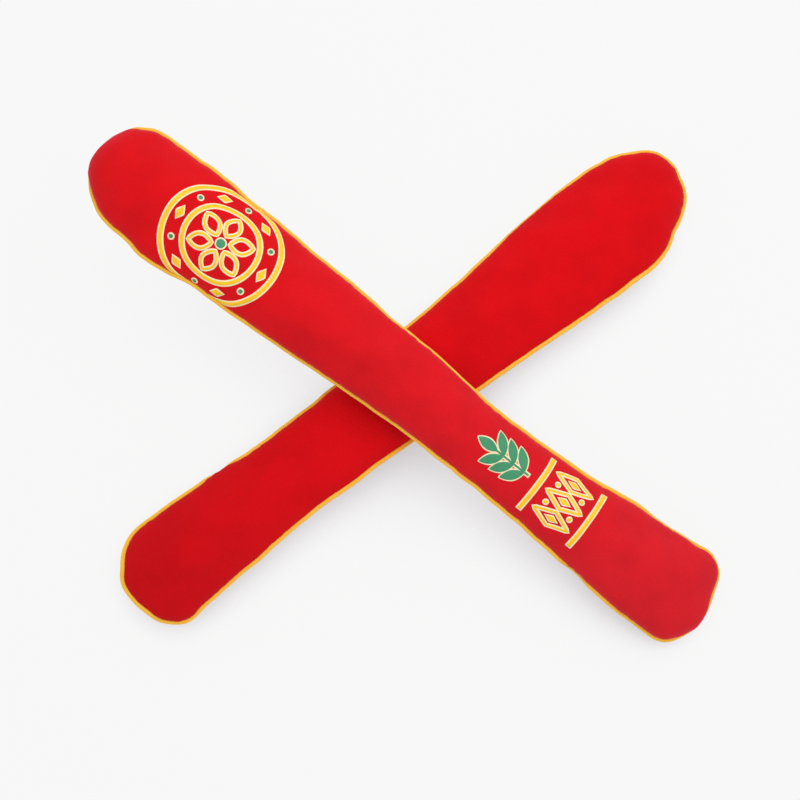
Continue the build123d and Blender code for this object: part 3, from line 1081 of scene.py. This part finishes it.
class STICKS_OT_covers(bpy.types.Operator):
    """Makes the velvet covers of both sticks and the wadding behind them"""

    bl_idname = "sticks.covers"
    bl_label = "Covers and wadding"

    def execute(self, context):
        looks = context.scene.stick_covers
        # each velvet's tail colour is painted light: painted sheen on the front, painted shade on the
        # back
        front = (looks.front_velvet, looks.front_tail_sheen, looks.front_sheen_reach, looks.front_bloom)
        back = (looks.back_velvet, looks.back_tail_shade, looks.back_shade_reach, looks.back_bloom)
        velvets = {
            "front": finish(velvet_material, "red_velvet_brushed_to_tail", *front),
            "back": finish(velvet_material, "red_velvet_brushed_to_head", *back),
        }
        wadding = finish(fibre_material, "polyester_wadding", "EDEDE8", 3 * MM, 0.4 * MM)
        for name in STICKS:
            covers = covers_of(name)
            for face, side in SIDES[name].items():
                inner = drawn_in(covers.skins[side], covers.ribs, looks.wall)
                cover = closed_shell(
                    f"{name}_{face}_velvet", covers, covers.tucked(side), inner, velvets[face]
                )
                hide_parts(f"{name}_{face}_cover")
                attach(cover, covers.shape.body)
                self.make_wadding(covers, side, face, wadding, looks)
        return {"FINISHED"}

    def make_wadding(self, covers, side, face, material, looks):
        """The batt, from every third row of the cover, inside its wall."""
        name = covers.shape.name
        rows = list(range(0, looks.rows, 3))
        rows[-1] = looks.rows - 1
        points = covers.skins[side][:, rows]
        gap = 0.3 * MM
        thickness = 5 * MM
        outer = drawn_in(points, covers.ribs, looks.wall + gap)
        inner = drawn_in(points, covers.ribs, looks.wall + gap + thickness)
        batt = closed_shell(f"{name}_{face}_batt", covers, outer, inner, material)
        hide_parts(f"{name}_{face}_wadding")
        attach(batt, covers.shape.body)


def new_tree(name, inputs, output):
    """An empty geometry nodes tree with named sockets, and the sockets that its inputs come from."""
    tree = bpy.data.node_groups.new(name, "GeometryNodeTree")
    for label, kind in inputs.items():
        tree.interface.new_socket(name=label, in_out="INPUT", socket_type=f"NodeSocket{kind}")
    tree.interface.new_socket(name=output, in_out="OUTPUT", socket_type="NodeSocketGeometry")
    return tree, add(tree, "NodeGroupInput").outputs


def end_tree(tree, geometry, material, output):
    """Ends a tree in real geometry of one material."""
    whole = add(tree, "GeometryNodeRealizeInstances", {0: geometry})
    painted = add(tree, "GeometryNodeSetMaterial", {"Geometry": whole, "Material": material})
    add(tree, "NodeGroupOutput", {output: painted})
    return tree


def tube_tree(material):
    """Geometry nodes: a tube along a curve, with its length and turn kept as attributes."""
    sizes = {"Path": "Geometry", "Radius": "Float", "Unevenness": "Float"}
    tree, given = new_tree("tube_along_seam", sizes, "Tube")
    kept = {"data_type": "FLOAT", "domain": "POINT"}
    along = add(tree, "GeometryNodeSplineParameter").outputs["Length"]
    path = add(
        tree,
        "GeometryNodeStoreNamedAttribute",
        {"Geometry": given["Path"], "Name": "along", "Value": along},
        **kept,
    )
    bumps = add(tree, "ShaderNodeTexNoise", {"Scale": 1 / (6 * MM)})
    least = add(tree, "ShaderNodeMath", {0: 1.0, 1: given["Unevenness"]}, operation="SUBTRACT")
    most = add(tree, "ShaderNodeMath", {0: 1.0, 1: given["Unevenness"]}, operation="ADD")
    thickness = add(
        tree,
        "ShaderNodeMapRange",
        {"Value": bumps, "From Min": 0.3, "From Max": 0.7, "To Min": least, "To Max": most},
    )
    uneven = add(tree, "GeometryNodeSetCurveRadius", {"Curve": path, "Radius": thickness})
    ring = add(tree, "GeometryNodeCurvePrimitiveCircle", {"Resolution": 14, "Radius": given["Radius"]})
    around = add(tree, "GeometryNodeSplineParameter").outputs["Factor"]
    profile = add(
        tree,
        "GeometryNodeStoreNamedAttribute",
        {"Geometry": ring, "Name": "around", "Value": around},
        **kept,
    )
    tube = add(tree, "GeometryNodeCurveToMesh", {"Curve": uneven, "Profile Curve": profile})
    smooth = add(tree, "GeometryNodeSetShadeSmooth", {"Geometry": tube})
    return end_tree(tree, smooth, material, "Tube")


def curve_object(name, points, closed):
    """A curve object of straight runs through points, which are in the row frame."""
    curve = bpy.data.curves.new(name, "CURVE")
    curve.dimensions = "3D"
    spline = curve.splines.new("POLY")
    spline.points.add(len(points) - 1)
    for given, place in zip(spline.points, points):
        given.co = (*place, 1.0)
    spline.use_cyclic_u = closed
    made = bpy.data.objects.new(name, curve)
    bpy.context.scene.collection.objects.link(made)
    return made


def grown(name, source, tree, values):
    """The plain mesh that a geometry nodes tree makes of source."""
    modifier = source.modifiers.new(tree.name, "NODES")
    modifier.node_group = tree
    for socket in tree.interface.items_tree:
        if socket.item_type == "SOCKET" and socket.in_out == "INPUT" and socket.name in values:
            modifier[socket.identifier] = values[socket.name]
    return evaluated(source, name)


def joined(name, pieces):
    """One object of several, in the first one's place."""
    work = bmesh.new()
    for piece in pieces:
        work.from_mesh(piece.data)
    mesh = pieces[0].data
    work.to_mesh(mesh)
    work.free()
    for piece in pieces[1:]:
        bpy.data.objects.remove(piece)
    pieces[0].name = name
    mesh.name = name
    return pieces[0]


def seam_path(covers, out, down=0.0):
    """The seam loop moved outwards and down, in the row frame."""
    tangent = np.roll(covers.foot, -1, 0) - np.roll(covers.foot, 1, 0)
    side = np.cross(tangent, (0, 0, 1.0))
    side /= np.linalg.norm(side, axis=1, keepdims=True)
    side *= np.sign((side * covers.out).sum(1))[:, None]
    points = covers.foot + side * out - np.array((0, 0, down))
    return placed(points, covers.shape)


class STICKS_OT_piping(bpy.types.Operator):
    """Lays the amber piping with its cord and flange round both seams"""

    bl_idname = "sticks.piping"
    bl_label = "Piping"

    def execute(self, context):
        looks = context.scene.stick_piping
        amber = finish(piping_material, "amber_bias_cotton", looks.amber)
        cotton = finish(fibre_material, "spun_cotton_cord", "E9E2D0", 1 * MM, 0.1 * MM)
        sleeve_tree = tube_tree(amber)
        cord_tree = tube_tree(cotton)
        for name in STICKS:
            covers = covers_of(name)
            path = seam_path(covers, looks.stand)
            tube = grown(
                f"{name}_piping",
                curve_object(f"{name}_piping_path", path, True),
                sleeve_tree,
                {"Radius": looks.radius, "Unevenness": 0.05},
            )
            sleeve = joined(f"{name}_piping", [tube, self.flange(covers, looks, amber)])
            cord = grown(
                f"{name}_cord",
                curve_object(f"{name}_cord_path", path, True),
                cord_tree,
                {"Radius": looks.cord_radius, "Unevenness": 0.02},
            )
            for piece, node, slot in (
                (sleeve, "piping_sleeve", "piping_cloth"),
                (cord, "piping_cord", "cotton_cord"),
            ):
                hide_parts(f"{name}_{node}")
                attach(piece, covers.shape.body)
        return {"FINISHED"}

    def flange(self, covers, looks, material):
        """The flat of the bias strip between the covers: a thin closed ring."""
        half = 0.25 * MM  # of its thickness
        near = -0.4 * MM
        far = -looks.flange
        section = ((near, half), (near, -half), (far, -half), (far, half))
        corners = [seam_path(covers, out, down) for out, down in section]
        count = len(corners[0])
        faces = []
        for k in range(count):
            after = (k + 1) % count
            for i in range(4):
                j = (i + 1) % 4
                faces.append((i * count + k, i * count + after, j * count + after, j * count + k))
        vertices = np.concatenate(corners)
        zero = np.zeros(len(vertices))
        return mesh_object("flange", vertices, faces, material, {"along": zero, "around": zero})


def stitch_tree(material):
    """Geometry nodes: short bent threads set square across a curve."""
    sizes = {"Path": "Geometry", "Count": "Int", "Length": "Float", "Thread": "Float"}
    tree, given = new_tree("stitches_across_seam", sizes, "Stitches")
    places = add(tree, "GeometryNodeResampleCurve", {"Curve": given["Path"], "Count": given["Count"]})
    tangent = add(tree, "GeometryNodeInputTangent")
    facing = add(
        tree, "FunctionNodeAlignEulerToVector", {"Vector": tangent}, axis="X", pivot_axis="AUTO"
    )
    bends = []
    for axis, share in (("Y", -0.5), ("Z", -0.3), ("Y", 0.5)):
        part = add(tree, "ShaderNodeMath", {0: given["Length"], 1: share}, operation="MULTIPLY")
        bends.append(add(tree, "ShaderNodeCombineXYZ", {axis: part}))
    arc = add(
        tree,
        "GeometryNodeCurveQuadraticBezier",
        {"Resolution": 8, "Start": bends[0], "Middle": bends[1], "End": bends[2]},
    )
    ring = add(tree, "GeometryNodeCurvePrimitiveCircle", {"Resolution": 8, "Radius": given["Thread"]})
    thread = add(
        tree, "GeometryNodeCurveToMesh", {"Curve": arc, "Profile Curve": ring, "Fill Caps": True}
    )
    copies = add(
        tree,
        "GeometryNodeInstanceOnPoints",
        {"Points": places, "Instance": thread, "Rotation": facing},
    )
    return end_tree(tree, copies, material, "Stitches")


class STICKS_OT_stitches(bpy.types.Operator):
    """Sews the stuffing gap shut with hand stitches under the piping"""

    bl_idname = "sticks.stitches"
    bl_label = "Closing stitches"

    def execute(self, context):
        looks = context.scene.stick_piping
        thread = finish(fibre_material, "red_cotton_thread", "C0161E", 0.6 * MM, 0.05 * MM)
        tree = stitch_tree(thread)
        sizes = {"Count": looks.stitches, "Length": looks.stitch_length, "Thread": looks.thread}
        inside_seam = 0.3 * MM
        below_seam = 1.7 * MM
        half_rib = 0.8 * MM
        for name in STICKS:
            covers = covers_of(name)
            path = seam_path(covers, -inside_seam, below_seam)
            middle = covers.rib_at("left", STUFFING_GAP)
            reach = looks.stitch_pitch * (looks.stitches - 1) / 2
            inside = np.abs(covers.along - covers.along[middle]) <= reach + half_rib
            gap = curve_object(f"{name}_gap", path[inside], False)
            sewn = grown(f"{name}_stitches", gap, tree, sizes)
            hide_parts(f"{name}_closing_stitches")
            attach(sewn, covers.shape.body)
        return {"FINISHED"}


# ---- prints ---------------------------------------------------------------------------------


class Panel:
    """The flat cut of a cover: u runs along the stick from its middle, v across it from the spine."""

    def __init__(self, covers, side):
        self.covers = covers
        count = max(number for _, _, number in covers.ribs)
        left = list(range(count + 1))
        fan = next(i for i, rib in enumerate(covers.ribs) if i > count and rib[1] == -pi / 2)
        right = [fan + count - i for i in range(count + 1)]
        self.xs = np.array([covers.ribs[k][0] for k in left])
        skin = covers.skins[side]
        normals = outward(skin, side)
        self.ribs = {1: skin[left][:, ::-1], -1: skin[right][:, ::-1]}
        self.normals = {1: normals[left][:, ::-1], -1: normals[right][:, ::-1]}
        self.lengths = {hand: rib_lengths(self.ribs[hand]) for hand in (1, -1)}

    def on_rib(self, hand, i, distance):
        """Point and normal of one rib at a distance from the spine."""
        lengths = self.lengths[hand][i]
        place = [np.interp(distance, lengths, self.ribs[hand][i][:, axis]) for axis in range(3)]
        normal = [np.interp(distance, lengths, self.normals[hand][i][:, axis]) for axis in range(3)]
        return np.array(place), np.array(normal)

    def widest(self, u, v):
        """How far across the cut runs at u, on the side of v, short of the seam's groove."""
        hand = 1 if v >= 0 else -1
        groove = 1.2 * MM
        return np.interp(u, self.xs, self.lengths[hand][:, -1]) - groove

    def lifted(self, u, v, height):
        """Point that lies height above the cloth at (u, v) of the flat cut."""
        hand = 1 if v >= 0 else -1
        at = np.interp(u, self.xs, range(len(self.xs)))
        i = min(int(at), len(self.xs) - 2)
        share = at - i
        place, normal = self.on_rib(hand, i, abs(v))
        next_place, next_normal = self.on_rib(hand, i + 1, abs(v))
        normal = normal * (1 - share) + next_normal * share
        normal /= np.linalg.norm(normal)
        return place * (1 - share) + next_place * share + normal * height


def band(points, width, height, closed):
    """A raised line of print: flat strip along points, lower at its two edges."""
    points = np.array(points, float)
    if closed:
        tangent = np.roll(points, -1, 0) - np.roll(points, 1, 0)
    else:
        tangent = np.gradient(points, axis=0)
    tangent /= np.linalg.norm(tangent, axis=1, keepdims=True)
    across = np.stack([-tangent[:, 1], tangent[:, 0]], 1)
    lip = min(LIP, width / 4)
    rows = [
        (-width / 2, height * EDGE_RISE),
        (-width / 2 + lip, height),
        (0.0, height * CROWN_RISE),
        (width / 2 - lip, height),
        (width / 2, height * EDGE_RISE),
    ]
    vertices = []
    for place, side in zip(points, across):
        vertices += [(*(place + side * offset), rise) for offset, rise in rows]
    count = len(points)
    faces = []
    for k in range(count if closed else count - 1):
        after = (k + 1) % count
        for i in range(len(rows) - 1):
            first = k * len(rows) + i
            second = after * len(rows) + i
            faces.append((first, second, second + 1, first + 1))
    return vertices, faces


def patch(outline, height):
    """A raised filled shape of print: rings from its outline in to its middle."""
    outline = np.array(outline, float)
    middle = outline.mean(0)
    size = np.linalg.norm(outline - middle, axis=1).mean()
    shares = [1.0, 1 - LIP / size, 0.66, 0.33]
    heights = [height * EDGE_RISE, height, height * 1.05, height * CROWN_RISE]
    vertices = []
    for share, rise in zip(shares, heights):
        vertices += [(*(middle + (place - middle) * share), rise) for place in outline]
    vertices.append((*middle, height * CROWN_RISE))
    count = len(outline)
    faces = []
    for k in range(count):
        after = (k + 1) % count
        for ring in range(len(shares) - 1):
            first = ring * count
            faces.append((first + k, first + after, first + count + after, first + count + k))
        last = (len(shares) - 1) * count
        faces.append((last + k, last + after, len(vertices) - 1))
    return vertices, faces


def round_from(middle, radius, degrees):
    """Place at a radius from a middle, in a direction in degrees."""
    turn = radians(degrees)
    return (middle[0] + radius * cos(turn), middle[1] + radius * sin(turn))


def circle(middle, radius):
    """Outline of a disc."""
    count = max(12, round(2 * pi * radius / PRINT_STEP))
    return [round_from(middle, radius, 360 * i / count) for i in range(count)]


def axes(heading):
    """Unit vectors ahead and to the left of a heading in degrees."""
    ahead = np.array((cos(radians(heading)), sin(radians(heading))))
    return ahead, np.array((-ahead[1], ahead[0]))


def leaf(root, heading, length, width, count=16):
    """Outline of a pointed leaf that starts at root and runs along heading in degrees."""
    ahead, left = axes(heading)
    there = [(i / count, 1) for i in range(count)]
    back = [(1 - i / count, -1) for i in range(count)]
    return [
        np.array(root) + ahead * length * share + left * hand * width / 2 * sin(pi * share) ** 0.8
        for share, hand in there + back
    ]


def lozenge(middle, heading, length, width, count=5):
    """Outline of a lozenge, with points along its sides so that it bends with the cloth."""
    ahead, left = axes(heading)
    tips = [ahead * length / 2, left * width / 2, -ahead * length / 2, -left * width / 2]
    edge = []
    for i in range(4):
        for j in range(count):
            share = j / count
            edge.append(np.array(middle) + tips[i] * (1 - share) + tips[(i + 1) % 4] * share)
    return edge


def straight(start, end):
    """Points of a straight line."""
    start, end = np.array(start, float), np.array(end, float)
    count = max(2, round(np.linalg.norm(end - start) / PRINT_STEP) + 1)
    return [start + (end - start) * i / (count - 1) for i in range(count)]


class Print:
    """Shapes of film on the flat cut, in layers of one colour each."""

    def __init__(self, looks):
        self.looks = looks
        self.layers = {"cream": [], "yellow": [], "green": []}

    def line(self, points, width, colour, closed=False):
        """A line with a pale edging on both sides, and past its ends where it has ends."""
        looks = self.looks
        points = np.array(points, float)
        under = points
        if not closed:
            first = points[0] - points[1]
            last = points[-1] - points[-2]
            start = points[0] + first / np.linalg.norm(first) * looks.edging
            end = points[-1] + last / np.linalg.norm(last) * looks.edging
            under = np.concatenate([[start], points, [end]])
        edged = width + 2 * looks.edging
        self.layers["cream"].append(band(under, edged, looks.film, closed))
        self.layers[colour].append(band(points, width, 2 * looks.film, closed))

    def shape(self, outline, colour):
        """A filled shape with a pale edging."""
        looks = self.looks
        outline = np.array(outline, float)
        middle = outline.mean(0)
        rays = outline - middle
        reach = np.linalg.norm(rays, axis=1, keepdims=True)
        wider = middle + rays * (1 + looks.edging / reach)
        self.layers["cream"].append(patch(wider, looks.film))
        self.layers[colour].append(patch(outline, 2 * looks.film))


def rosette(looks):
    """Head ornament: two rings, a border of lozenges and dots, and six petals round a disc."""
    art = Print(looks)
    middle = (0, 0)
    inner = looks.rosette * 0.64
    art.line(circle(middle, looks.rosette), looks.line, "yellow", closed=True)
    art.line(circle(middle, inner), looks.line * 0.9, "yellow", closed=True)
    for i in range(12):
        turn = 30 * i
        place = round_from(middle, (looks.rosette + inner) / 2, turn)
        if i % 2:
            art.shape(circle(place, 1.5 * MM), "green")
        else:
            art.shape(lozenge(place, turn + 90, 9 * MM, 4.6 * MM), "yellow")
    for i in range(6):
        turn = 60 * i + 30
        petal = leaf(round_from(middle, 5.6 * MM, turn), turn, inner - 9.5 * MM, 9 * MM)
        art.line(petal, looks.line * 0.6, "yellow", closed=True)
    art.shape(circle(middle, 2.9 * MM), "green")
    return art


def tail_border(looks):
    """Tail ornament: a row of lozenges between two bands, and a sprig of green leaves."""
    art = Print(looks)
    for u in (-19 * MM, 19 * MM):
        art.line(straight((u, -20 * MM), (u, 20 * MM)), looks.line, "yellow")
    for v in (-13.2 * MM, 0, 13.2 * MM):
        outline = lozenge((0, v), 0, 26 * MM, 10.6 * MM, 10)
        art.line(outline, looks.line * 0.6, "yellow", closed=True)
        art.shape(lozenge((0, v), 0, 9 * MM, 3.6 * MM), "yellow")
    for v in (-6.6 * MM, 6.6 * MM):
        for u in (-9 * MM, 9 * MM):
            art.shape(circle((u, v), 1.3 * MM), "yellow")
    art.line(straight((27 * MM, 0), (52 * MM, 0)), 1.5 * MM, "green")
    for u in (30 * MM, 38 * MM, 46 * MM):
        for turn in (-48, 48):
            art.shape(leaf((u, 0), turn, 16 * MM, 6.2 * MM), "green")
    art.shape(leaf((51 * MM, 0), 0, 15 * MM, 6.6 * MM), "green")
    return art


def film_piece(name, panel, middle, shapes, material):
    """Film shapes laid on the cloth round a middle place of the panel, cut off at the seam."""
    sunk = 0.08 * MM  # depth of the film's foot in the pile
    vertices = []
    faces = []
    for flat, flat_faces in shapes:
        start = len(vertices)
        below = start + len(flat)
        top = []
        under = []
        cut = []
        for along, across, rise in flat:
            u = along + middle[0]
            v = across + middle[1]
            most = panel.widest(u, v)
            cut.append(abs(v) > most)
            v = max(-most, min(most, v))
            top.append(panel.lifted(u, v, rise))
            under.append(panel.lifted(u, v, -sunk))
        vertices += top + under
        edges = set()
        for face in flat_faces:
            if all(cut[i] for i in face):
                continue
            faces.append(tuple(start + i for i in face))
            faces.append(tuple(below + i for i in reversed(face)))
            edges.update(zip(face, face[1:] + face[:1]))
        for a, b in edges:
            if (b, a) not in edges:
                faces.append((start + b, start + a, below + a, below + b))
    used = sorted({i for face in faces for i in face})
    number = {old: new for new, old in enumerate(used)}
    faces = [tuple(number[i] for i in face) for face in faces]
    kept = placed(np.array([vertices[i] for i in used]), panel.covers.shape)
    return mesh_object(name, kept, faces, material)


class STICKS_OT_prints(bpy.types.Operator):
    """Presses the ornaments on to the front cover of both sticks"""

    bl_idname = "sticks.prints"
    bl_label = "Prints"

    def execute(self, context):
        looks = context.scene.stick_prints
        films = {
            "yellow": finish(film_material, "yellow_print_film", looks.yellow, 0.45),
            "cream": finish(film_material, "cream_print_film", looks.cream, 0.55),
            "green": finish(film_material, "green_print_film", looks.green, 0.5),
        }
        for name in STICKS:
            covers = covers_of(name)
            panel = Panel(covers, SIDES[name]["front"])
            head = (covers.shape.head_tip - looks.rosette_from_head, looks.rosette_off)
            tail = (covers.shape.tail_tip + looks.border_from_tail, 0.0)
            for place, middle, art in (
                ("head", head, rosette(looks)),
                ("tail", tail, tail_border(looks)),
            ):
                for colour, shapes in art.layers.items():
                    film = film_piece(
                        f"{name}_{place}_{colour}_film", panel, middle, shapes, films[colour]
                    )
                    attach(film, covers.shape.body)
        return {"FINISHED"}


class STICKS_OT_core(bpy.types.Operator):
    """Gives the rods, caps and foam inside the sticks their finishes"""

    bl_idname = "sticks.core"
    bl_label = "Core pieces"

    def execute(self, context):
        foam = finish(fibre_material, "open_cell_foam", "E6E0C8", 1.2 * MM, 0.4 * MM)
        beech = finish(beech_material, "turned_beech")
        rubber = finish(rubber_material, "moulded_black_rubber")
        for name in STICKS:
            for node, material in (
                ("front_foam", foam),
                ("back_foam", foam),
                ("core_rod", beech),
                ("head_cap", rubber),
                ("tail_cap", rubber),
            ):
                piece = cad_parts[f"{name}_{node}"]
                piece.data.materials.clear()
                piece.data.materials.append(material)
        return {"FINISHED"}


class STICKS_OT_stage(bpy.types.Operator):
    """Sets the pale floor, the soft light and the camera"""

    bl_idname = "sticks.stage"
    bl_label = "Stage"

    def execute(self, context):
        looks = context.scene.stick_stage
        scene = context.scene
        scene.view_settings.view_transform = "Standard"
        corners = [
            (x * FLOOR_HALF, y * FLOOR_HALF, FLOOR_LEVEL)
            for x, y in ((-1, -1), (1, -1), (1, 1), (-1, 1))
        ]
        floor = mesh_object("floor", corners, [(0, 1, 2, 3)], self.paper(looks))
        self.make_light(looks, scene)
        self.make_camera(looks, scene)
        return {"FINISHED"}

    def paper(self, looks):
        """Matt white paper, on which shadows are weak except close to what casts them: there a shadow
        from occlusion is painted into the paper's glow.
        """
        material, tree, place = new_material("matt_white_paper")
        pulp = add(tree, "ShaderNodeTexNoise", {"Vector": place, "Scale": 1 / (400 * MM)})
        share = add(tree, "ShaderNodeMapRange", {"Value": pulp, "From Min": 0.3, "From Max": 0.7})
        white = add(
            tree,
            "ShaderNodeMix",
            {"Factor": share, 6: toned(looks.floor, 0.995), 7: looks.floor},
            data_type="RGBA",
        )
        matt = add(
            tree,
            "ShaderNodeBsdfPrincipled",
            {"Base Color": white.outputs[2], "Roughness": 0.95, "Specular IOR Level": 0.0},
        )
        # painted shadow: what shuts out the side of the key light darkens the glow's colour, and only
        # close by
        lean = Vector(SHADOW_LEAN).normalized()
        normal = add(tree, "ShaderNodeCombineXYZ", {"X": lean.x, "Y": lean.y, "Z": lean.z})
        close = add(
            tree,
            "ShaderNodeAmbientOcclusion",
            {"Distance": looks.shadow_reach, "Normal": normal},
            samples=16,
        )
        lit = add(
            tree,
            "ShaderNodeMapRange",
            {"Value": close.outputs["AO"], "From Min": SHADOW_RANGE[0], "From Max": SHADOW_RANGE[1]},
            interpolation_type="SMOOTHSTEP",
        )
        shade = [c * looks.shadow_depth * tint for c, tint in zip(looks.floor, SHADOW_TINT)] + [1.0]
        tone = add(tree, "ShaderNodeMix", {"Factor": lit, 6: shade, 7: looks.floor}, data_type="RGBA")
        glow = add(tree, "ShaderNodeEmission", {"Color": tone.outputs[2], "Strength": 1.0})
        rays = add(tree, "ShaderNodeLightPath").outputs
        seen = rays["Is Camera Ray"]
        for kind in ("Is Glossy Ray", "Is Transmission Ray"):
            seen = add(tree, "ShaderNodeMath", {0: seen, 1: rays[kind]}, operation="MAXIMUM")
        pale = add(tree, "ShaderNodeMath", {0: seen, 1: looks.paleness}, operation="MULTIPLY")
        surface = add(tree, "ShaderNodeMixShader", {0: pale, 1: matt, 2: glow})
        add(tree, "ShaderNodeOutputMaterial", {"Surface": surface})
        return material

    def make_light(self, looks, scene):
        """Even light from all round and one broad soft key from the upper right."""
        world = bpy.data.worlds.new("studio")
        world.use_nodes = True
        tree = world.node_tree
        tree.nodes.clear()
        rays = add(tree, "ShaderNodeLightPath").outputs
        even = add(tree, "ShaderNodeBackground", {"Color": (1, 1, 1, 1), "Strength": looks.sky})
        seen = add(tree, "ShaderNodeBackground", {"Color": looks.floor, "Strength": 1.0})
        mix = add(tree, "ShaderNodeMixShader", {0: rays["Is Camera Ray"], 1: even, 2: seen})
        add(tree, "ShaderNodeOutputWorld", {"Surface": mix})
        scene.world = world
        key = bpy.data.lights.new("key", "AREA")
        key.energy = looks.key
        key.size = looks.key_size
        lamp = bpy.data.objects.new("key", key)
        away = Vector(KEY_FROM).normalized()
        lamp.location = away * looks.key_distance
        lamp.rotation_euler = away.to_track_quat("Z", "Y").to_euler()
        lamp.visible_camera = False
        scene.collection.objects.link(lamp)

    def make_camera(self, looks, scene):
        """Almost straight above, leaning from the near side."""
        away = Vector((0, -sin(looks.tilt), cos(looks.tilt)))
        camera = bpy.data.cameras.new("camera")
        camera.lens = looks.lens
        camera.sensor_width = 36.0
        seen = bpy.data.objects.new("camera", camera)
        turn = Matrix.Rotation(looks.tilt, 4, "X") @ Matrix.Rotation(looks.roll, 4, "Z")
        seen.matrix_world = Matrix.Translation(Vector(VIEW_CENTRE) + away * looks.distance) @ turn
        scene.collection.objects.link(seen)
        scene.camera = seen


class STICKS_PT_panel(bpy.types.Panel):
    """Lists the steps in order"""

    bl_idname = "STICKS_PT_panel"
    bl_label = "Padded training sticks"
    bl_space_type = "VIEW_3D"
    bl_region_type = "UI"
    bl_category = "Sticks"

    def draw(self, context):
        for step in STEPS:
            self.layout.operator(step.bl_idname)


GROUPS = {
    "stick_covers": CoverLooks,
    "stick_piping": PipingLooks,
    "stick_prints": PrintLooks,
    "stick_stage": StageLooks,
}
STEPS = (
    STICKS_OT_covers,
    STICKS_OT_piping,
    STICKS_OT_stitches,
    STICKS_OT_prints,
    STICKS_OT_core,
    STICKS_OT_stage,
)


def register():
    """Adds the settings, the steps and the panel."""
    for made in (*GROUPS.values(), *STEPS, STICKS_PT_panel):
        bpy.utils.register_class(made)
    for name, group in GROUPS.items():
        setattr(bpy.types.Scene, name, PointerProperty(type=group))


def unregister():
    """Takes them out again."""
    for name in GROUPS:
        delattr(bpy.types.Scene, name)
    for made in (STICKS_PT_panel, *reversed(STEPS), *GROUPS.values()):
        bpy.utils.unregister_class(made)


def main():
    """Runs every step."""
    register()
    bpy.ops.sticks.covers()
    bpy.ops.sticks.piping()
    bpy.ops.sticks.stitches()
    bpy.ops.sticks.prints()
    bpy.ops.sticks.core()
    bpy.ops.sticks.stage()


if __name__ == "__main__":
    main()
